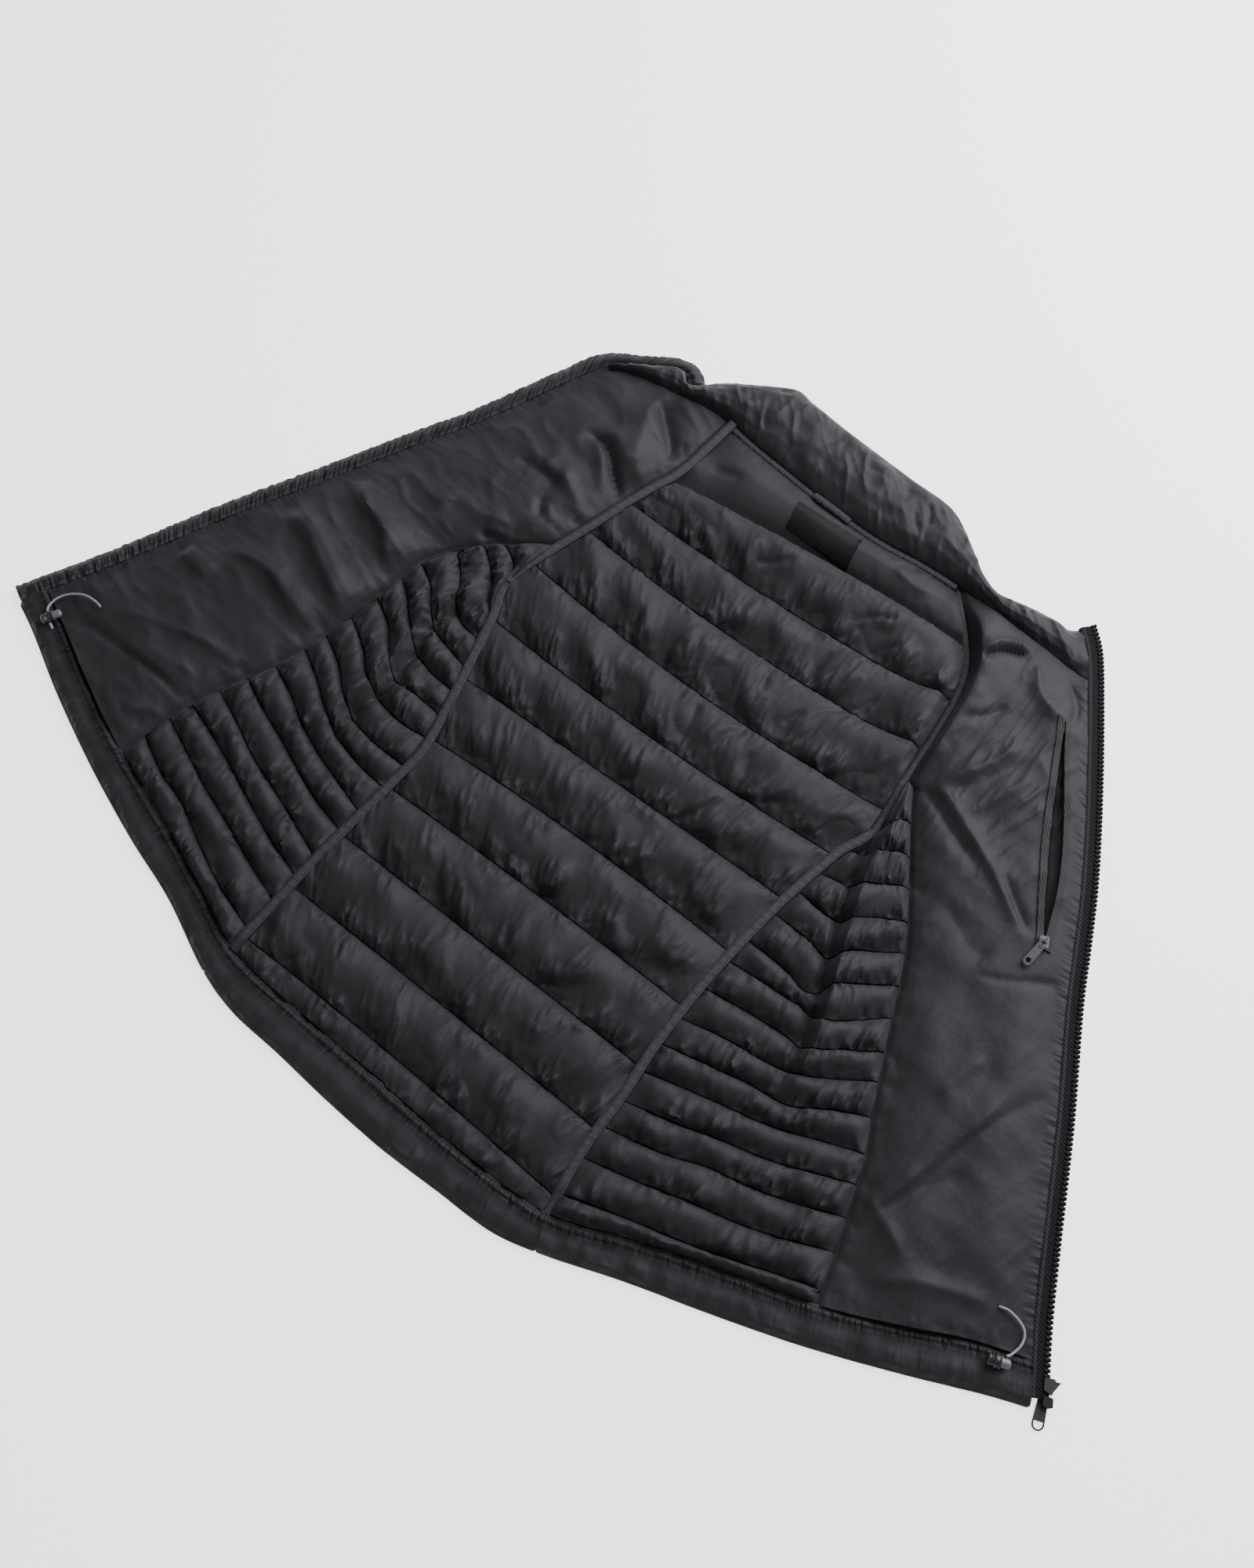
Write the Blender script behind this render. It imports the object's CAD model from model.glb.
import math

import bmesh
import bpy
import numpy as np
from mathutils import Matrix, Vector
from mathutils.bvhtree import BVHTree


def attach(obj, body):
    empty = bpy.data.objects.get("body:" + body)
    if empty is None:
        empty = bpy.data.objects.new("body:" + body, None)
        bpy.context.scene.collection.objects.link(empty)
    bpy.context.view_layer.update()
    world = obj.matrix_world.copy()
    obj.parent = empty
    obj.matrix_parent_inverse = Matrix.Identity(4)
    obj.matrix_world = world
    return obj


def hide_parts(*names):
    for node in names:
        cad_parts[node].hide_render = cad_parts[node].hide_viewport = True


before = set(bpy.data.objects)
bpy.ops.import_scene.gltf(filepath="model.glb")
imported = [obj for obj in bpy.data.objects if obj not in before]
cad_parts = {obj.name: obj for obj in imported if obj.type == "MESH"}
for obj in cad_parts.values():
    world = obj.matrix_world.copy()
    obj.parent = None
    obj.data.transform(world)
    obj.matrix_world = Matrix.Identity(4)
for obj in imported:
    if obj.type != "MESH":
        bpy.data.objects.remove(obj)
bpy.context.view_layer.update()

# Camera: a studio shot from the hem side, looking steeply down at the vest on the floor.
# A normal lens, upright, framed so that the whole open vest is in view.

CAMERA_PLACE = (0.05368, -0.45325, 1.2132)
CAMERA_TILT = 22.0
CAMERA_LENS = 41.4
camera_data = bpy.data.cameras.new("studio_camera")
camera_data.sensor_width = 36.0
camera_data.lens = CAMERA_LENS
camera = bpy.data.objects.new("studio_camera", camera_data)
camera.location = CAMERA_PLACE
camera.rotation_euler = (math.radians(CAMERA_TILT), 0.0, 0.0)
bpy.context.scene.collection.objects.link(camera)
bpy.context.scene.camera = camera

# Drawcords: round braided polyester cord, drawn out of a stitched slit at each hem corner.
# Each one bends over into its cord lock; on the right a short end comes out of the lock.

LAID_TURN = math.radians(-37.2)
LAID_AT = (-0.141938, -0.226201)
CORD_DIAMETER = 1.8
CORD_RIGHT = ((-397.9, 198.7, 16.3), (-401.5, 199.4, 16.6), (-406.2, 199.8, 16.1),
              (-412.8, 199.6, 14.8), (-418, 198.4, 13.5), (-423, 196, 12.3),
              (-426.8, 193.4, 11.4), (-430.4, 189.2, 10.9), (-432.6, 183.9, 10.7),
              (-432.8, 178.6, 10.8), (-431.3, 174.8, 11.8), (-429.0, 172.9, 12.4))
CORD_TAIL = ((-421.0, 166.9, 12.3), (-418.9, 165.8, 11.5), (-417.2, 165.0, 10.7))
CORD_LEFT = ((409.6, 180.1, 11.5), (412.1, 181, 11.9), (416, 181.7, 12.0), (420.7, 181.3, 11.5),
             (424.9, 180.5, 10.8), (428.6, 179, 10.2), (431.6, 176.6, 9.8), (433.5, 172.6, 9.6),
             (433.9, 168, 9.7), (433, 163.4, 9.9), (431.6, 159.4, 10.8), (430.0, 157.2, 11.8))


def laid(points):
    """Points in the vest's own plan, in mm, as places on the floor, in metres."""
    spots = np.array(points, dtype=float) / 1000.0
    cos, sin = math.cos(LAID_TURN), math.sin(LAID_TURN)
    across = spots[..., 0] * cos - spots[..., 1] * sin + LAID_AT[0]
    up = spots[..., 0] * sin + spots[..., 1] * cos + LAID_AT[1]
    return np.stack([across, up, spots[..., 2]], axis=-1)


def smooth(points, steps=24):
    """A smooth path through points, as closely spaced points."""
    knots = np.array(points, dtype=float)
    ends = np.vstack([2 * knots[0] - knots[1], knots, 2 * knots[-1] - knots[-2]])
    t = np.linspace(0.0, 1.0, steps, endpoint=False)[:, None]
    runs = []
    for a, b, c, d in zip(ends, ends[1:], ends[2:], ends[3:]):
        bend = 2 * a - 5 * b + 4 * c - d
        twist = -a + 3 * b - 3 * c + d
        runs.append(0.5 * (2 * b + (c - a) * t + bend * t ** 2 + twist * t ** 3))
    return np.vstack(runs + [knots[-1:]])


def lengths_along(path):
    """The distance along a path at each of its points."""
    steps = np.linalg.norm(np.diff(path, axis=0), axis=1)
    return np.concatenate([[0.0], np.cumsum(steps)])


def read_path(path, shares):
    """Points of a path at the given shares of its length."""
    along = lengths_along(path)
    spots = np.asarray(shares) * along[-1]
    return np.column_stack([np.interp(spots, along, column) for column in path.T])


def linear(text):
    """An sRGB hex colour as linear numbers."""
    parts = [int(text[k:k + 2], 16) / 255.0 for k in (1, 3, 5)]
    low = [part / 12.92 for part in parts]
    high = [((part + 0.055) / 1.055) ** 2.4 for part in parts]
    return tuple(h if part > 0.04045 else l for part, l, h in zip(parts, low, high))


def add_node(tree, kind, inputs=None, **settings):
    """Adds a node with its settings; its inputs are values or other nodes' outputs."""
    node = tree.nodes.new(kind)
    for name, value in settings.items():
        setattr(node, name, value)
    for key, value in (inputs or {}).items():
        if isinstance(value, bpy.types.NodeSocket):
            tree.links.new(value, node.inputs[key])
        else:
            node.inputs[key].default_value = value
    return node


def start_material(name, **values):
    """A material with its shader's even values set, ready for its pattern."""
    material = bpy.data.materials.new(name)
    material.use_nodes = True
    shader = material.node_tree.nodes["Principled BSDF"]
    for key, value in values.items():
        shader.inputs[key.replace("_", " ")].default_value = value
    return material, material.node_tree, shader


def patterned(name, colours, scale, relief=None, bands=None, **values):
    """A material whose one pattern tints it between two colours or lifts it a little.

    The pattern is noise on the piece's own Object coordinates, or else bands in a direction on
    the cloth's own map. relief is the strength and the depth of the bump.
    """
    material, tree, shader = start_material(name, **values)
    shader.inputs["Base Color"].default_value = (*linear(colours[0]), 1.0)
    if bands:
        spot = add_node(tree, "ShaderNodeUVMap", uv_map="cloth_map")
        pattern = add_node(tree, "ShaderNodeTexWave", {"Vector": spot.outputs["UV"],
                                                       "Scale": scale}, bands_direction=bands)
    else:
        spot = add_node(tree, "ShaderNodeTexCoord")
        pattern = add_node(tree, "ShaderNodeTexNoise", {"Vector": spot.outputs["Object"],
                                                        "Scale": scale})
    if len(colours) > 1:
        tone = add_node(tree, "ShaderNodeValToRGB", {"Fac": pattern.outputs["Fac"]})
        for element, colour in zip(tone.color_ramp.elements, colours):
            element.color = (*linear(colour), 1.0)
        tree.links.new(tone.outputs["Color"], shader.inputs["Base Color"])
    if relief:
        bump = add_node(tree, "ShaderNodeBump", {"Height": pattern.outputs["Fac"],
                                                 "Strength": relief[0], "Distance": relief[1]})
        tree.links.new(bump.outputs["Normal"], shader.inputs["Normal"])
    return material


def show(mesh, materials, replaced=(), body="vest"):
    """Puts a finished mesh in the scene, on its body and in place of its CAD nodes."""
    piece = bpy.data.objects.new(mesh.name, mesh)
    mesh.materials.clear()
    for material in materials if isinstance(materials, (list, tuple)) else [materials]:
        mesh.materials.append(material)
    bpy.context.scene.collection.objects.link(piece)
    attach(piece, body)
    if replaced:
        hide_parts(*replaced)
    return piece


def mesh_of(name, verts, faces, sharp=None):
    """A closed mesh with its faces turned outwards."""
    mesh = bpy.data.meshes.new(name)
    mesh.from_pydata([tuple(vert) for vert in verts], [], [tuple(face) for face in faces])
    maker = bmesh.new()
    maker.from_mesh(mesh)
    bmesh.ops.recalc_face_normals(maker, faces=maker.faces[:])
    maker.to_mesh(mesh)
    maker.free()
    mesh.shade_smooth()
    if sharp:
        mesh.set_sharp_from_angle(angle=math.radians(sharp))
    return mesh


def frames_along(path):
    """Two cross directions at each point of a path, carried along it without a twist."""
    ahead = np.gradient(path, axis=0)
    ahead /= np.linalg.norm(ahead, axis=1)[:, None]
    side = np.cross(ahead[0], (0.0, 0.0, 1.0))
    sides = []
    for way in ahead:
        side = side - way * (side @ way)
        side = side / np.linalg.norm(side)
        sides.append(side)
    sides = np.array(sides)
    return sides, np.cross(ahead, sides)


def ring_faces(rings, sides):
    """Faces between rings of points that follow each other."""
    faces = []
    for start in range(0, (rings - 1) * sides, sides):
        for k in range(sides):
            nxt = (k + 1) % sides
            faces.append((start + k, start + nxt, start + sides + nxt, start + sides + k))
    return faces


def braided_tube(name, route, radius, sides=20, step=0.3):
    """A cord's tube with the low relief of its braid, and its centreline in metres."""
    path = smooth(route)
    rows = max(8, round(lengths_along(path)[-1] / step))
    path = laid(read_path(path, np.linspace(0.0, 1.0, rows + 1)))
    side, over = frames_along(path)
    along = lengths_along(path)[:, None] * 1000.0
    turn = np.linspace(0.0, 2 * math.pi, sides, endpoint=False)[None, :]
    twist = 2 * math.pi * along / 3.2
    weave = np.abs(np.sin(2 * turn + twist)) + np.abs(np.sin(2 * turn - twist))
    reach = radius * (0.9 + 0.055 * weave) / 1000.0
    rings = (path[:, None] + reach[..., None] * (np.cos(turn)[..., None] * side[:, None]
                                                 + np.sin(turn)[..., None] * over[:, None]))
    faces = ring_faces(rows + 1, sides)
    faces.append(tuple(range(sides)))
    faces.append(tuple(range(rows * sides, (rows + 1) * sides)))
    return mesh_of(name, rings.reshape(-1, 3), faces, sharp=60), path


# Braided polyester: pale grey yarns, a little darker in the grooves of the braid
cord_finish = patterned("braided_polyester_cord", ("#55585d", "#85898f"), 900.0, Roughness=0.62)

cords = {}
cord_paths = {}
for name, route in (("drawcord_right", CORD_RIGHT), ("drawcord_tail_right", CORD_TAIL),
                    ("drawcord_left", CORD_LEFT)):
    mesh, path = braided_tube("braided_" + name, route, CORD_DIAMETER / 2)
    cords[name] = show(mesh, cord_finish, [name])
    cord_paths[name] = path

# Cord locks: moulded nylon toggles with a ribbed barrel and a sprung plunger.
# Each is a turned form pressed a little flat, lying on the hem where the cord ends.

LOCK_FLAT = 0.76
PLUNGER_START = 1.62
LOCKS = {"cord_lock_right": (-424.1, 171.5, 12.7, 61.2),
         "cord_lock_left": (427.6, 151.3, 12.7, 20.0)}
BARREL = ((-8.0, 0.0), (-7.9, 1.6), (-7.5, 2.9), (-6.6, 3.7), (-6.0, 3.95), (-5.4, 3.6),
          (-4.9, 4.05), (-4.3, 3.65), (-3.8, 4.15), (-3.2, 3.75), (-2.8, 4.2), (-2.4, 4.65),
          (-1.5, 4.7), (-1.2, 4.1), (0.2, 4.05), (0.5, 4.6), (1.3, 4.7), (1.6, 4.3), (1.7, 3.3))
PLUNGER = ((1.5, 3.2), (2.6, 3.3), (3.2, 3.05), (3.9, 3.3), (5.6, 3.25), (6.6, 3.05),
           (7.4, 2.5), (7.85, 1.6), (8.0, 0.0))


def turned(profile, sides=36):
    """Rings of points and faces for a form turned about the x axis, in mm."""
    verts = []
    for along, radius in profile:
        for k in range(sides):
            turn = 2 * math.pi * k / sides
            verts.append((along, radius * math.cos(turn), radius * math.sin(turn)))
    return verts, ring_faces(len(profile), sides)


def placed(points, across, up, height, heading):
    """Points of a piece's own frame, in mm, put at a place in the vest's plan."""
    spots = np.array(points, dtype=float)
    cos, sin = math.cos(heading), math.sin(heading)
    plan = np.column_stack([across + spots[:, 0] * cos - spots[:, 1] * sin,
                            up + spots[:, 0] * sin + spots[:, 1] * cos, height + spots[:, 2]])
    return laid(plan)


def welded(mesh, distance=0.00001):
    """Merges the doubles at a mesh's poles and closes its ends."""
    maker = bmesh.new()
    maker.from_mesh(mesh)
    bmesh.ops.remove_doubles(maker, verts=maker.verts[:], dist=distance)
    open_edges = [edge for edge in maker.edges if edge.is_boundary]
    if open_edges:
        bmesh.ops.holes_fill(maker, edges=open_edges, sides=0)
    bmesh.ops.recalc_face_normals(maker, faces=maker.faces[:])
    maker.to_mesh(mesh)
    maker.free()
    mesh.shade_smooth()
    mesh.set_sharp_from_angle(angle=math.radians(50))
    return mesh


# Moulded nylon: even, slightly dull, with the fine grain of a sparked mould
lock_dark = patterned("moulded_nylon_dark", ("#101012",), 2500.0, (0.12, 0.0002), Roughness=0.42)
lock_grey = patterned("moulded_nylon_grey", ("#4a4d55",), 2500.0, (0.12, 0.0002), Roughness=0.38)

locks = {}
for name, (across, up, height, heading) in LOCKS.items():
    verts, faces = turned(BARREL)
    more_verts, more_faces = turned(PLUNGER)
    start = len(verts)
    verts += more_verts
    faces += [tuple(index + start for index in face) for face in more_faces]
    verts = np.array(verts) * (1.0, 1.0, LOCK_FLAT)
    mesh = mesh_of("toggle_" + name, placed(verts, across, up, height, math.radians(heading)),
                   faces)
    mesh = welded(mesh)
    lock = show(mesh, [lock_dark, lock_grey], [name])
    ahead = np.array((math.cos(math.radians(heading) + LAID_TURN),
                      math.sin(math.radians(heading) + LAID_TURN)))
    centre = laid([(across, up, height)])[0][:2]
    for face in mesh.polygons:
        along = (np.array(face.center[:2]) - centre) @ ahead * 1000.0
        face.material_index = 1 if along > PLUNGER_START else 0
    locks[name] = lock

for name, pieces in (("drawcord_right", [locks["cord_lock_right"], cords["drawcord_tail_right"]]),
                     ("drawcord_left", [locks["cord_lock_left"]])):
    path = cord_paths[name]

# Back: five-centimetre baffles of thin nylon over down, stitched across from side to side.
# The thread gathers the cloth, so fine wrinkles run off every stitch line into the padding.

# Neighbouring panels run a little into each other, so that no slit shows between them
SEAM_GAP = -0.4
BINDING = 6.0
SEAM_HEIGHT = 5.0
SIDE_SEAM = ((57, -146, 140), (99, -144, 134), (144, -143, 133), (183, -140, 130),
             (224, -137, 130), (260, -136, 132), (314, -148, 138), (371, -163, 149),
             (402, -173, 160))
ARMHOLE = ((-173, 402, 160, 402), (-163, 441, 156, 446), (-156, 464, 154, 480),
           (-149, 486, 152, 505), (-143, 508, 149, 530), (-134, 534, 142, 553),
           (-125, 561, 128, 574), (-119, 616, 101, 604))
TUNNEL_EDGE = ((0, 52, 51), (77, 55, 48), (141, 60, 51), (192, 80, 70), (243, 100, 88),
               (315, 126, 111), (366, 149, 133), (404, 168, 152))
TUNNEL_ENDS = {-1: (-446.4, 188), 1: (445.2, 166.8)}
NECK_SEAM = ((-237, 592), (-226, 598.5), (-213, 603.5), (-190, 607.5), (-158, 611),
             (-127, 616), (-93, 611), (-60, 607), (-15, 602), (30, 600), (69, 603),
             (104, 603), (142, 598), (177, 596), (208, 594.5), (226, 596))
# The long folds of the back's sides and of its yoke: from where to where, half width, height
FOLDS = ((-211, 536, -160, 505, 13, 6.0), (-200, 588, -152, 543, 11, 5.5),
         (-155, 598, -122, 570, 11, 4.5), (-178, 232, -186, 330, 16, 4.0),
         (-226, 398, -180, 432, 14, 7.0), (197, 293, 166, 386, 9, -8.0),
         (216, 310, 182, 395, 15, 9.0), (182, 395, 162, 452, 14, 7.0),
         (170, 436, 276, 404, 8, -5.0), (178, 462, 240, 470, 14, 6.0),
         (172, 520, 205, 560, 18, 7.0), (150, 566, 178, 590, 7, -4.0),
         (-95, 640, 55, 630, 26, 4.0), (92, 622, 195, 616, 12, 9.0), (-75, 575, 80, 573, 16, 3.0))
# Each stitch line's height up the vest at the right, the middle and the left of the back
QUILT_LINES = ((73, 69.8, 62), (121, 118, 114), (172, 169, 166), (220, 220.5, 217),
               (267.5, 272, 267.5), (321, 322, 323), (370, 365.5, 371), (424, 415, 420),
               (474, 467, 474), (514, 510.5, 520), (547, 561, 567))
BACK_PUFF = 11.5
BACK_GATHERS = ((1, 8.0, 24.0, 2.0, 1.6, 0.5), (-1, 6.0, 13.0, 1.6, 1.4, 0.45))
# Its fine wrinkles: their width, length and height, and how they lean at its left and right
BACK_WRINKLES = (4.2, 14.0, 1.35)
BACK_LEANS = (0.6, -0.25)
QUILT_REACH = 145.0


def shifted(path, amount):
    """The path moved sideways, to its left for a positive amount."""
    ahead = np.gradient(path, axis=0)
    ahead /= np.linalg.norm(ahead, axis=1)[:, None]
    return path + amount * np.column_stack([-ahead[:, 1], ahead[:, 0]])


def half_path(table, side, corner):
    """One side of an edge, from a table of both sides, out to its corner."""
    column = 1 if side < 0 else 2
    return smooth([(side * row[0], row[column]) for row in table] + [corner])


def hump(away, wide):
    """1 in the middle, falling to 0 on both sides over a width."""
    return np.exp(-(away / wide) ** 2)


def soft_step(share):
    """A share eased at both of its ends."""
    return share * share * (3 - 2 * share)


def broad_folds(points):
    """Height that the cloth's broad folds add at each plan point."""
    rise = np.zeros(len(points))
    for x0, y0, x1, y1, half, height in FOLDS:
        run = np.array((x1 - x0, y1 - y0), dtype=float)
        share = np.clip((points - (x0, y0)) @ run / (run @ run), 0.0, 1.0)
        reach = np.linalg.norm(points - (x0, y0) - share[:, None] * run, axis=1)
        rise += height * hump(reach, half)
    return rise


def creases(points, rows):
    """Height that short creases add: a bank along a bowed line, its two sides unlike.

    A row holds the start, the end, how far the middle bows aside, the width on each
    side, the height, and the share of the length where it is highest.
    """
    rise = np.zeros(len(points))
    order = np.argsort(points[:, 0])
    sorted_x = points[order, 0]
    for x0, y0, x1, y1, bow, near, far, height, peak in rows:
        run = np.array((x1 - x0, y1 - y0), dtype=float)
        length = math.hypot(*run)
        pad = 2.5 * max(near, far) + abs(bow)
        low, high = np.searchsorted(sorted_x, (min(x0, x1) - pad, max(x0, x1) + pad))
        picked = order[low:high]
        picked = picked[np.abs(points[picked, 1] - (y0 + y1) / 2) < abs(y1 - y0) / 2 + pad]
        away = points[picked] - (x0, y0)
        share = away @ run / length ** 2
        inside = np.clip(share, 0.0, 1.0)
        aside = (away[:, 0] * run[1] - away[:, 1] * run[0]) / length
        aside -= bow * 4 * inside * (1 - inside)
        level = np.minimum(inside / peak, (1 - inside) / (1 - peak))
        level = soft_step(level)
        wide = np.where(aside < 0, near, far)
        rise[picked] += height * level * hump(aside, wide)
    return rise


def gathers(path, table, rng):
    """Short wrinkles that run off a stitch line.

    A row of the table holds the side, the spacing, reach, height and width, and the lean.
    """
    rows = []
    total = lengths_along(path)[-1]
    for way, spacing, reach, height, width, lean in table:
        at = rng.uniform(0.0, spacing)
        while at < total:
            share = at / total
            spot, ahead = read_path(path, [share, min(1.0, share + 0.01)])
            heading = ahead - spot
            if math.hypot(*heading) < 0.01:
                break
            turn = math.atan2(heading[1], heading[0]) + way * math.pi / 2
            turn += rng.normal(0.0, lean)
            long = reach * rng.uniform(0.35, 1.0) ** 1.2
            end = spot + long * np.array((math.cos(turn), math.sin(turn)))
            wide = width * rng.uniform(0.7, 1.4)
            rows.append((*spot, *end, rng.normal(0.0, 0.09) * long, wide,
                         wide * rng.uniform(0.6, 1.5), height * rng.choice((-1.0, 0.8))
                         * rng.uniform(0.3, 1.0), rng.uniform(0.12, 0.4)))
            at += spacing * rng.uniform(0.5, 1.5)
    return rows


def grid_faces(rows, columns):
    """The rim of a grid of points, all the way round, and the faces between them."""
    index = np.arange(rows * columns).reshape(rows, columns)
    rim = np.concatenate([index[0], index[1:, -1], index[-1, -2::-1], index[-2:0:-1, 0]])
    quads = np.stack([index[:-1, :-1], index[:-1, 1:], index[1:, 1:], index[1:, :-1]], axis=-1)
    return rim, quads.reshape(-1, 4)


def write_map(mesh, name, places):
    """Writes a map, in metres, from a place in mm for every point of a mesh."""
    layer = mesh.uv_layers.get(name) or mesh.uv_layers.new(name=name)
    corner = np.empty(len(mesh.loops), dtype=np.int64)
    mesh.loops.foreach_get("vertex_index", corner)
    layer.data.foreach_set("uv", (places[corner] / 1000.0).astype(np.float32).ravel())


def seam_map(mesh, cloth, pull):
    """Where the thread gathers the cloth, and how hard, for the gathers in its material."""
    walls = len(mesh.vertices) - len(cloth)
    write_map(mesh, "seam_map", np.vstack([cloth, np.zeros((walls, 2))]))
    field = mesh.attributes.new("pull", "FLOAT", "POINT")
    strength = np.concatenate([pull, np.zeros(walls)])
    field.data.foreach_set("value", strength.astype(np.float32))


def cloth_body(name, spots, swell=(0.0, 0.0, 0.0, 0.0), gather=None):
    """A closed body under a grid of points, in mm, standing flat on the floor.

    The walls can swell out at the first row, last column, last row and first column.
    gather holds the cloth's map beside its seams and how hard the thread pulls it there.
    """
    rows, columns = spots.shape[:2]
    rim, quads = grid_faces(rows, columns)
    bulge = np.concatenate([np.full(columns, swell[0]), np.full(rows - 1, swell[1]),
                            np.full(columns - 1, swell[2]), np.full(rows - 2, swell[3])])
    flat = spots.reshape(-1, 3)
    loop = flat[rim]
    heading = np.roll(loop, -1, axis=0) - np.roll(loop, 1, axis=0)
    heading[:, 2] = 0.0
    heading /= np.linalg.norm(heading, axis=1)[:, None] + 1e-9
    outward = np.column_stack([heading[:, 1], -heading[:, 0], np.zeros(len(loop))])
    nxt = np.roll(loop, -1, axis=0)
    area = np.sum(loop[:, 0] * nxt[:, 1] - nxt[:, 0] * loop[:, 1])
    outward *= np.sign(area)
    verts = [flat]
    places = [flat[:, :2]]
    faces = [tuple(face) for face in quads]
    last = rim
    count = len(flat)
    for share, out in ((0.75, 0.75), (0.45, 1.0), (0.18, 0.6), (0.0, -0.2)):
        ring = loop + outward * (bulge * out)[:, None]
        ring[:, 2] = 0.25 + (loop[:, 2] - 0.25) * share
        verts.append(ring)
        places.append(loop[:, :2] + outward[:, :2] * (loop[:, 2:] * (1 - share)))
        now = np.arange(count, count + len(rim))
        count += len(rim)
        faces += list(zip(last, np.roll(last, -1), np.roll(now, -1), now))
        last = now
    faces.append(tuple(last[::-1]))
    faces = [tuple(int(k) for k in face) for face in faces]
    mesh = mesh_of(name, laid(np.vstack(verts)), faces, sharp=55)
    write_map(mesh, "cloth_map", np.vstack(places))
    if gather:
        seam_map(mesh, *gather)
    return mesh


def inset(plan, amount=SEAM_GAP / 2):
    """Draws a panel's rim in by half the seam's gap."""
    plan = plan.copy()
    for grid in (plan.swapaxes(0, 1), plan):
        for lead, inner in ((0, 1), (-1, -2)):
            step = grid[inner] - grid[lead]
            grid[lead] += amount * step / np.linalg.norm(step, axis=1)[:, None]
    return plan


def nylon(name, shade, rough):
    """Down-proof nylon taffeta: nearly black, its calendered face gives a soft sheen.

    The real weave is about 0.1 mm; it is drawn about 1.8 mm wide so that it just shows.
    """
    material, tree, shader = start_material(name, Roughness=rough, Specular_IOR_Level=0.13)
    shader.inputs["Specular Tint"].default_value = (*linear("#f4eeff"), 1.0)
    shader.inputs["Sheen Weight"].default_value = 0.05
    shader.inputs["Sheen Roughness"].default_value = 0.5
    shader.inputs["Sheen Tint"].default_value = (*linear("#c9c6dc"), 1.0)
    spot = add_node(tree, "ShaderNodeUVMap", uv_map="cloth_map")
    warp = add_node(tree, "ShaderNodeTexWave", {"Vector": spot.outputs["UV"], "Scale": 175.0},
                    bands_direction="X")
    weft = add_node(tree, "ShaderNodeTexWave", {"Vector": spot.outputs["UV"], "Scale": 160.0},
                    bands_direction="Y")
    weave = add_node(tree, "ShaderNodeMath", {0: warp.outputs["Fac"], 1: weft.outputs["Fac"]},
                     operation="MULTIPLY")
    crumple = add_node(tree, "ShaderNodeTexNoise", {"Vector": spot.outputs["UV"],
                                                    "Scale": 190.0, "Detail": 3.0})
    cloud = add_node(tree, "ShaderNodeTexNoise", {"Vector": spot.outputs["UV"], "Scale": 21.0})
    tone = add_node(tree, "ShaderNodeValToRGB", {"Fac": cloud.outputs["Fac"]})
    base = linear(shade)
    tone.color_ramp.elements[0].color = (*(part * 0.82 for part in base), 1.0)
    tone.color_ramp.elements[1].color = (*(part * 1.18 for part in base), 1.0)
    tree.links.new(tone.outputs["Color"], shader.inputs["Base Color"])
    dull = add_node(tree, "ShaderNodeMapRange", {"Value": cloud.outputs["Fac"],
                                                 "To Min": rough - 0.04, "To Max": rough + 0.05})
    tree.links.new(dull.outputs["Result"], shader.inputs["Roughness"])
    fine = add_node(tree, "ShaderNodeBump", {"Height": weave.outputs["Value"],
                                             "Strength": 0.10, "Distance": 0.0002})
    soft = add_node(tree, "ShaderNodeBump", {"Height": crumple.outputs["Fac"],
                                             "Normal": fine.outputs["Normal"],
                                             "Strength": 0.35, "Distance": 0.0010})
    seam = add_node(tree, "ShaderNodeUVMap", uv_map="seam_map")
    pull = add_node(tree, "ShaderNodeAttribute", attribute_name="pull")
    normal = soft.outputs["Normal"]
    for turn, pace, deep in ((0.08, (120.0, 42.0, 1.0), 0.0052),
                             (-0.12, (230.0, 62.0, 1.0), 0.0020)):
        place = add_node(tree, "ShaderNodeMapping", {"Vector": seam.outputs["UV"],
                                                     "Rotation": (0.0, 0.0, turn), "Scale": pace})
        strands = add_node(tree, "ShaderNodeTexNoise", {"Vector": place.outputs["Vector"],
                                                        "Scale": 1.0, "Detail": 0.6})
        drawn = add_node(tree, "ShaderNodeMath", {0: strands.outputs["Fac"],
                                                  1: pull.outputs["Fac"]}, operation="MULTIPLY")
        gather = add_node(tree, "ShaderNodeBump", {"Height": drawn.outputs["Value"],
                                                   "Normal": normal, "Strength": 0.9,
                                                   "Distance": deep})
        normal = gather.outputs["Normal"]
    tree.links.new(normal, shader.inputs["Normal"])
    return material


# The shell's own cloth, duller than the lining
quilted_nylon = nylon("downproof_nylon_taffeta", "#252426", 0.60)
TUNNEL = {side: half_path(TUNNEL_EDGE, side, TUNNEL_ENDS[side]) for side in (-1, 1)}
BACK_EDGE = {-1: smooth([(row[1], row[0]) for row in SIDE_SEAM] + [row[:2] for row in ARMHOLE[1:]]),
             1: smooth([(row[2], row[0]) for row in SIDE_SEAM] + [row[2:] for row in ARMHOLE[1:]])}
NECK = smooth(NECK_SEAM)


def back_side(side, way=1):
    """Edge of the back along a side; way -1 is the binding's far edge."""
    return shifted(BACK_EDGE[side], way * side * BINDING / 2)


def line_up(line, across):
    """How far up the vest a stitch line lies at places across it."""
    right, middle, left = line
    place = np.asarray(across) / QUILT_REACH
    return middle + (left - right) / 2 * place + ((left + right) / 2 - middle) * place ** 2


def up_to(path, across):
    """How far up the vest a path lies at places across it."""
    order = np.argsort(path[:, 0])
    return np.interp(across, path[order, 0], path[order, 1])


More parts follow.
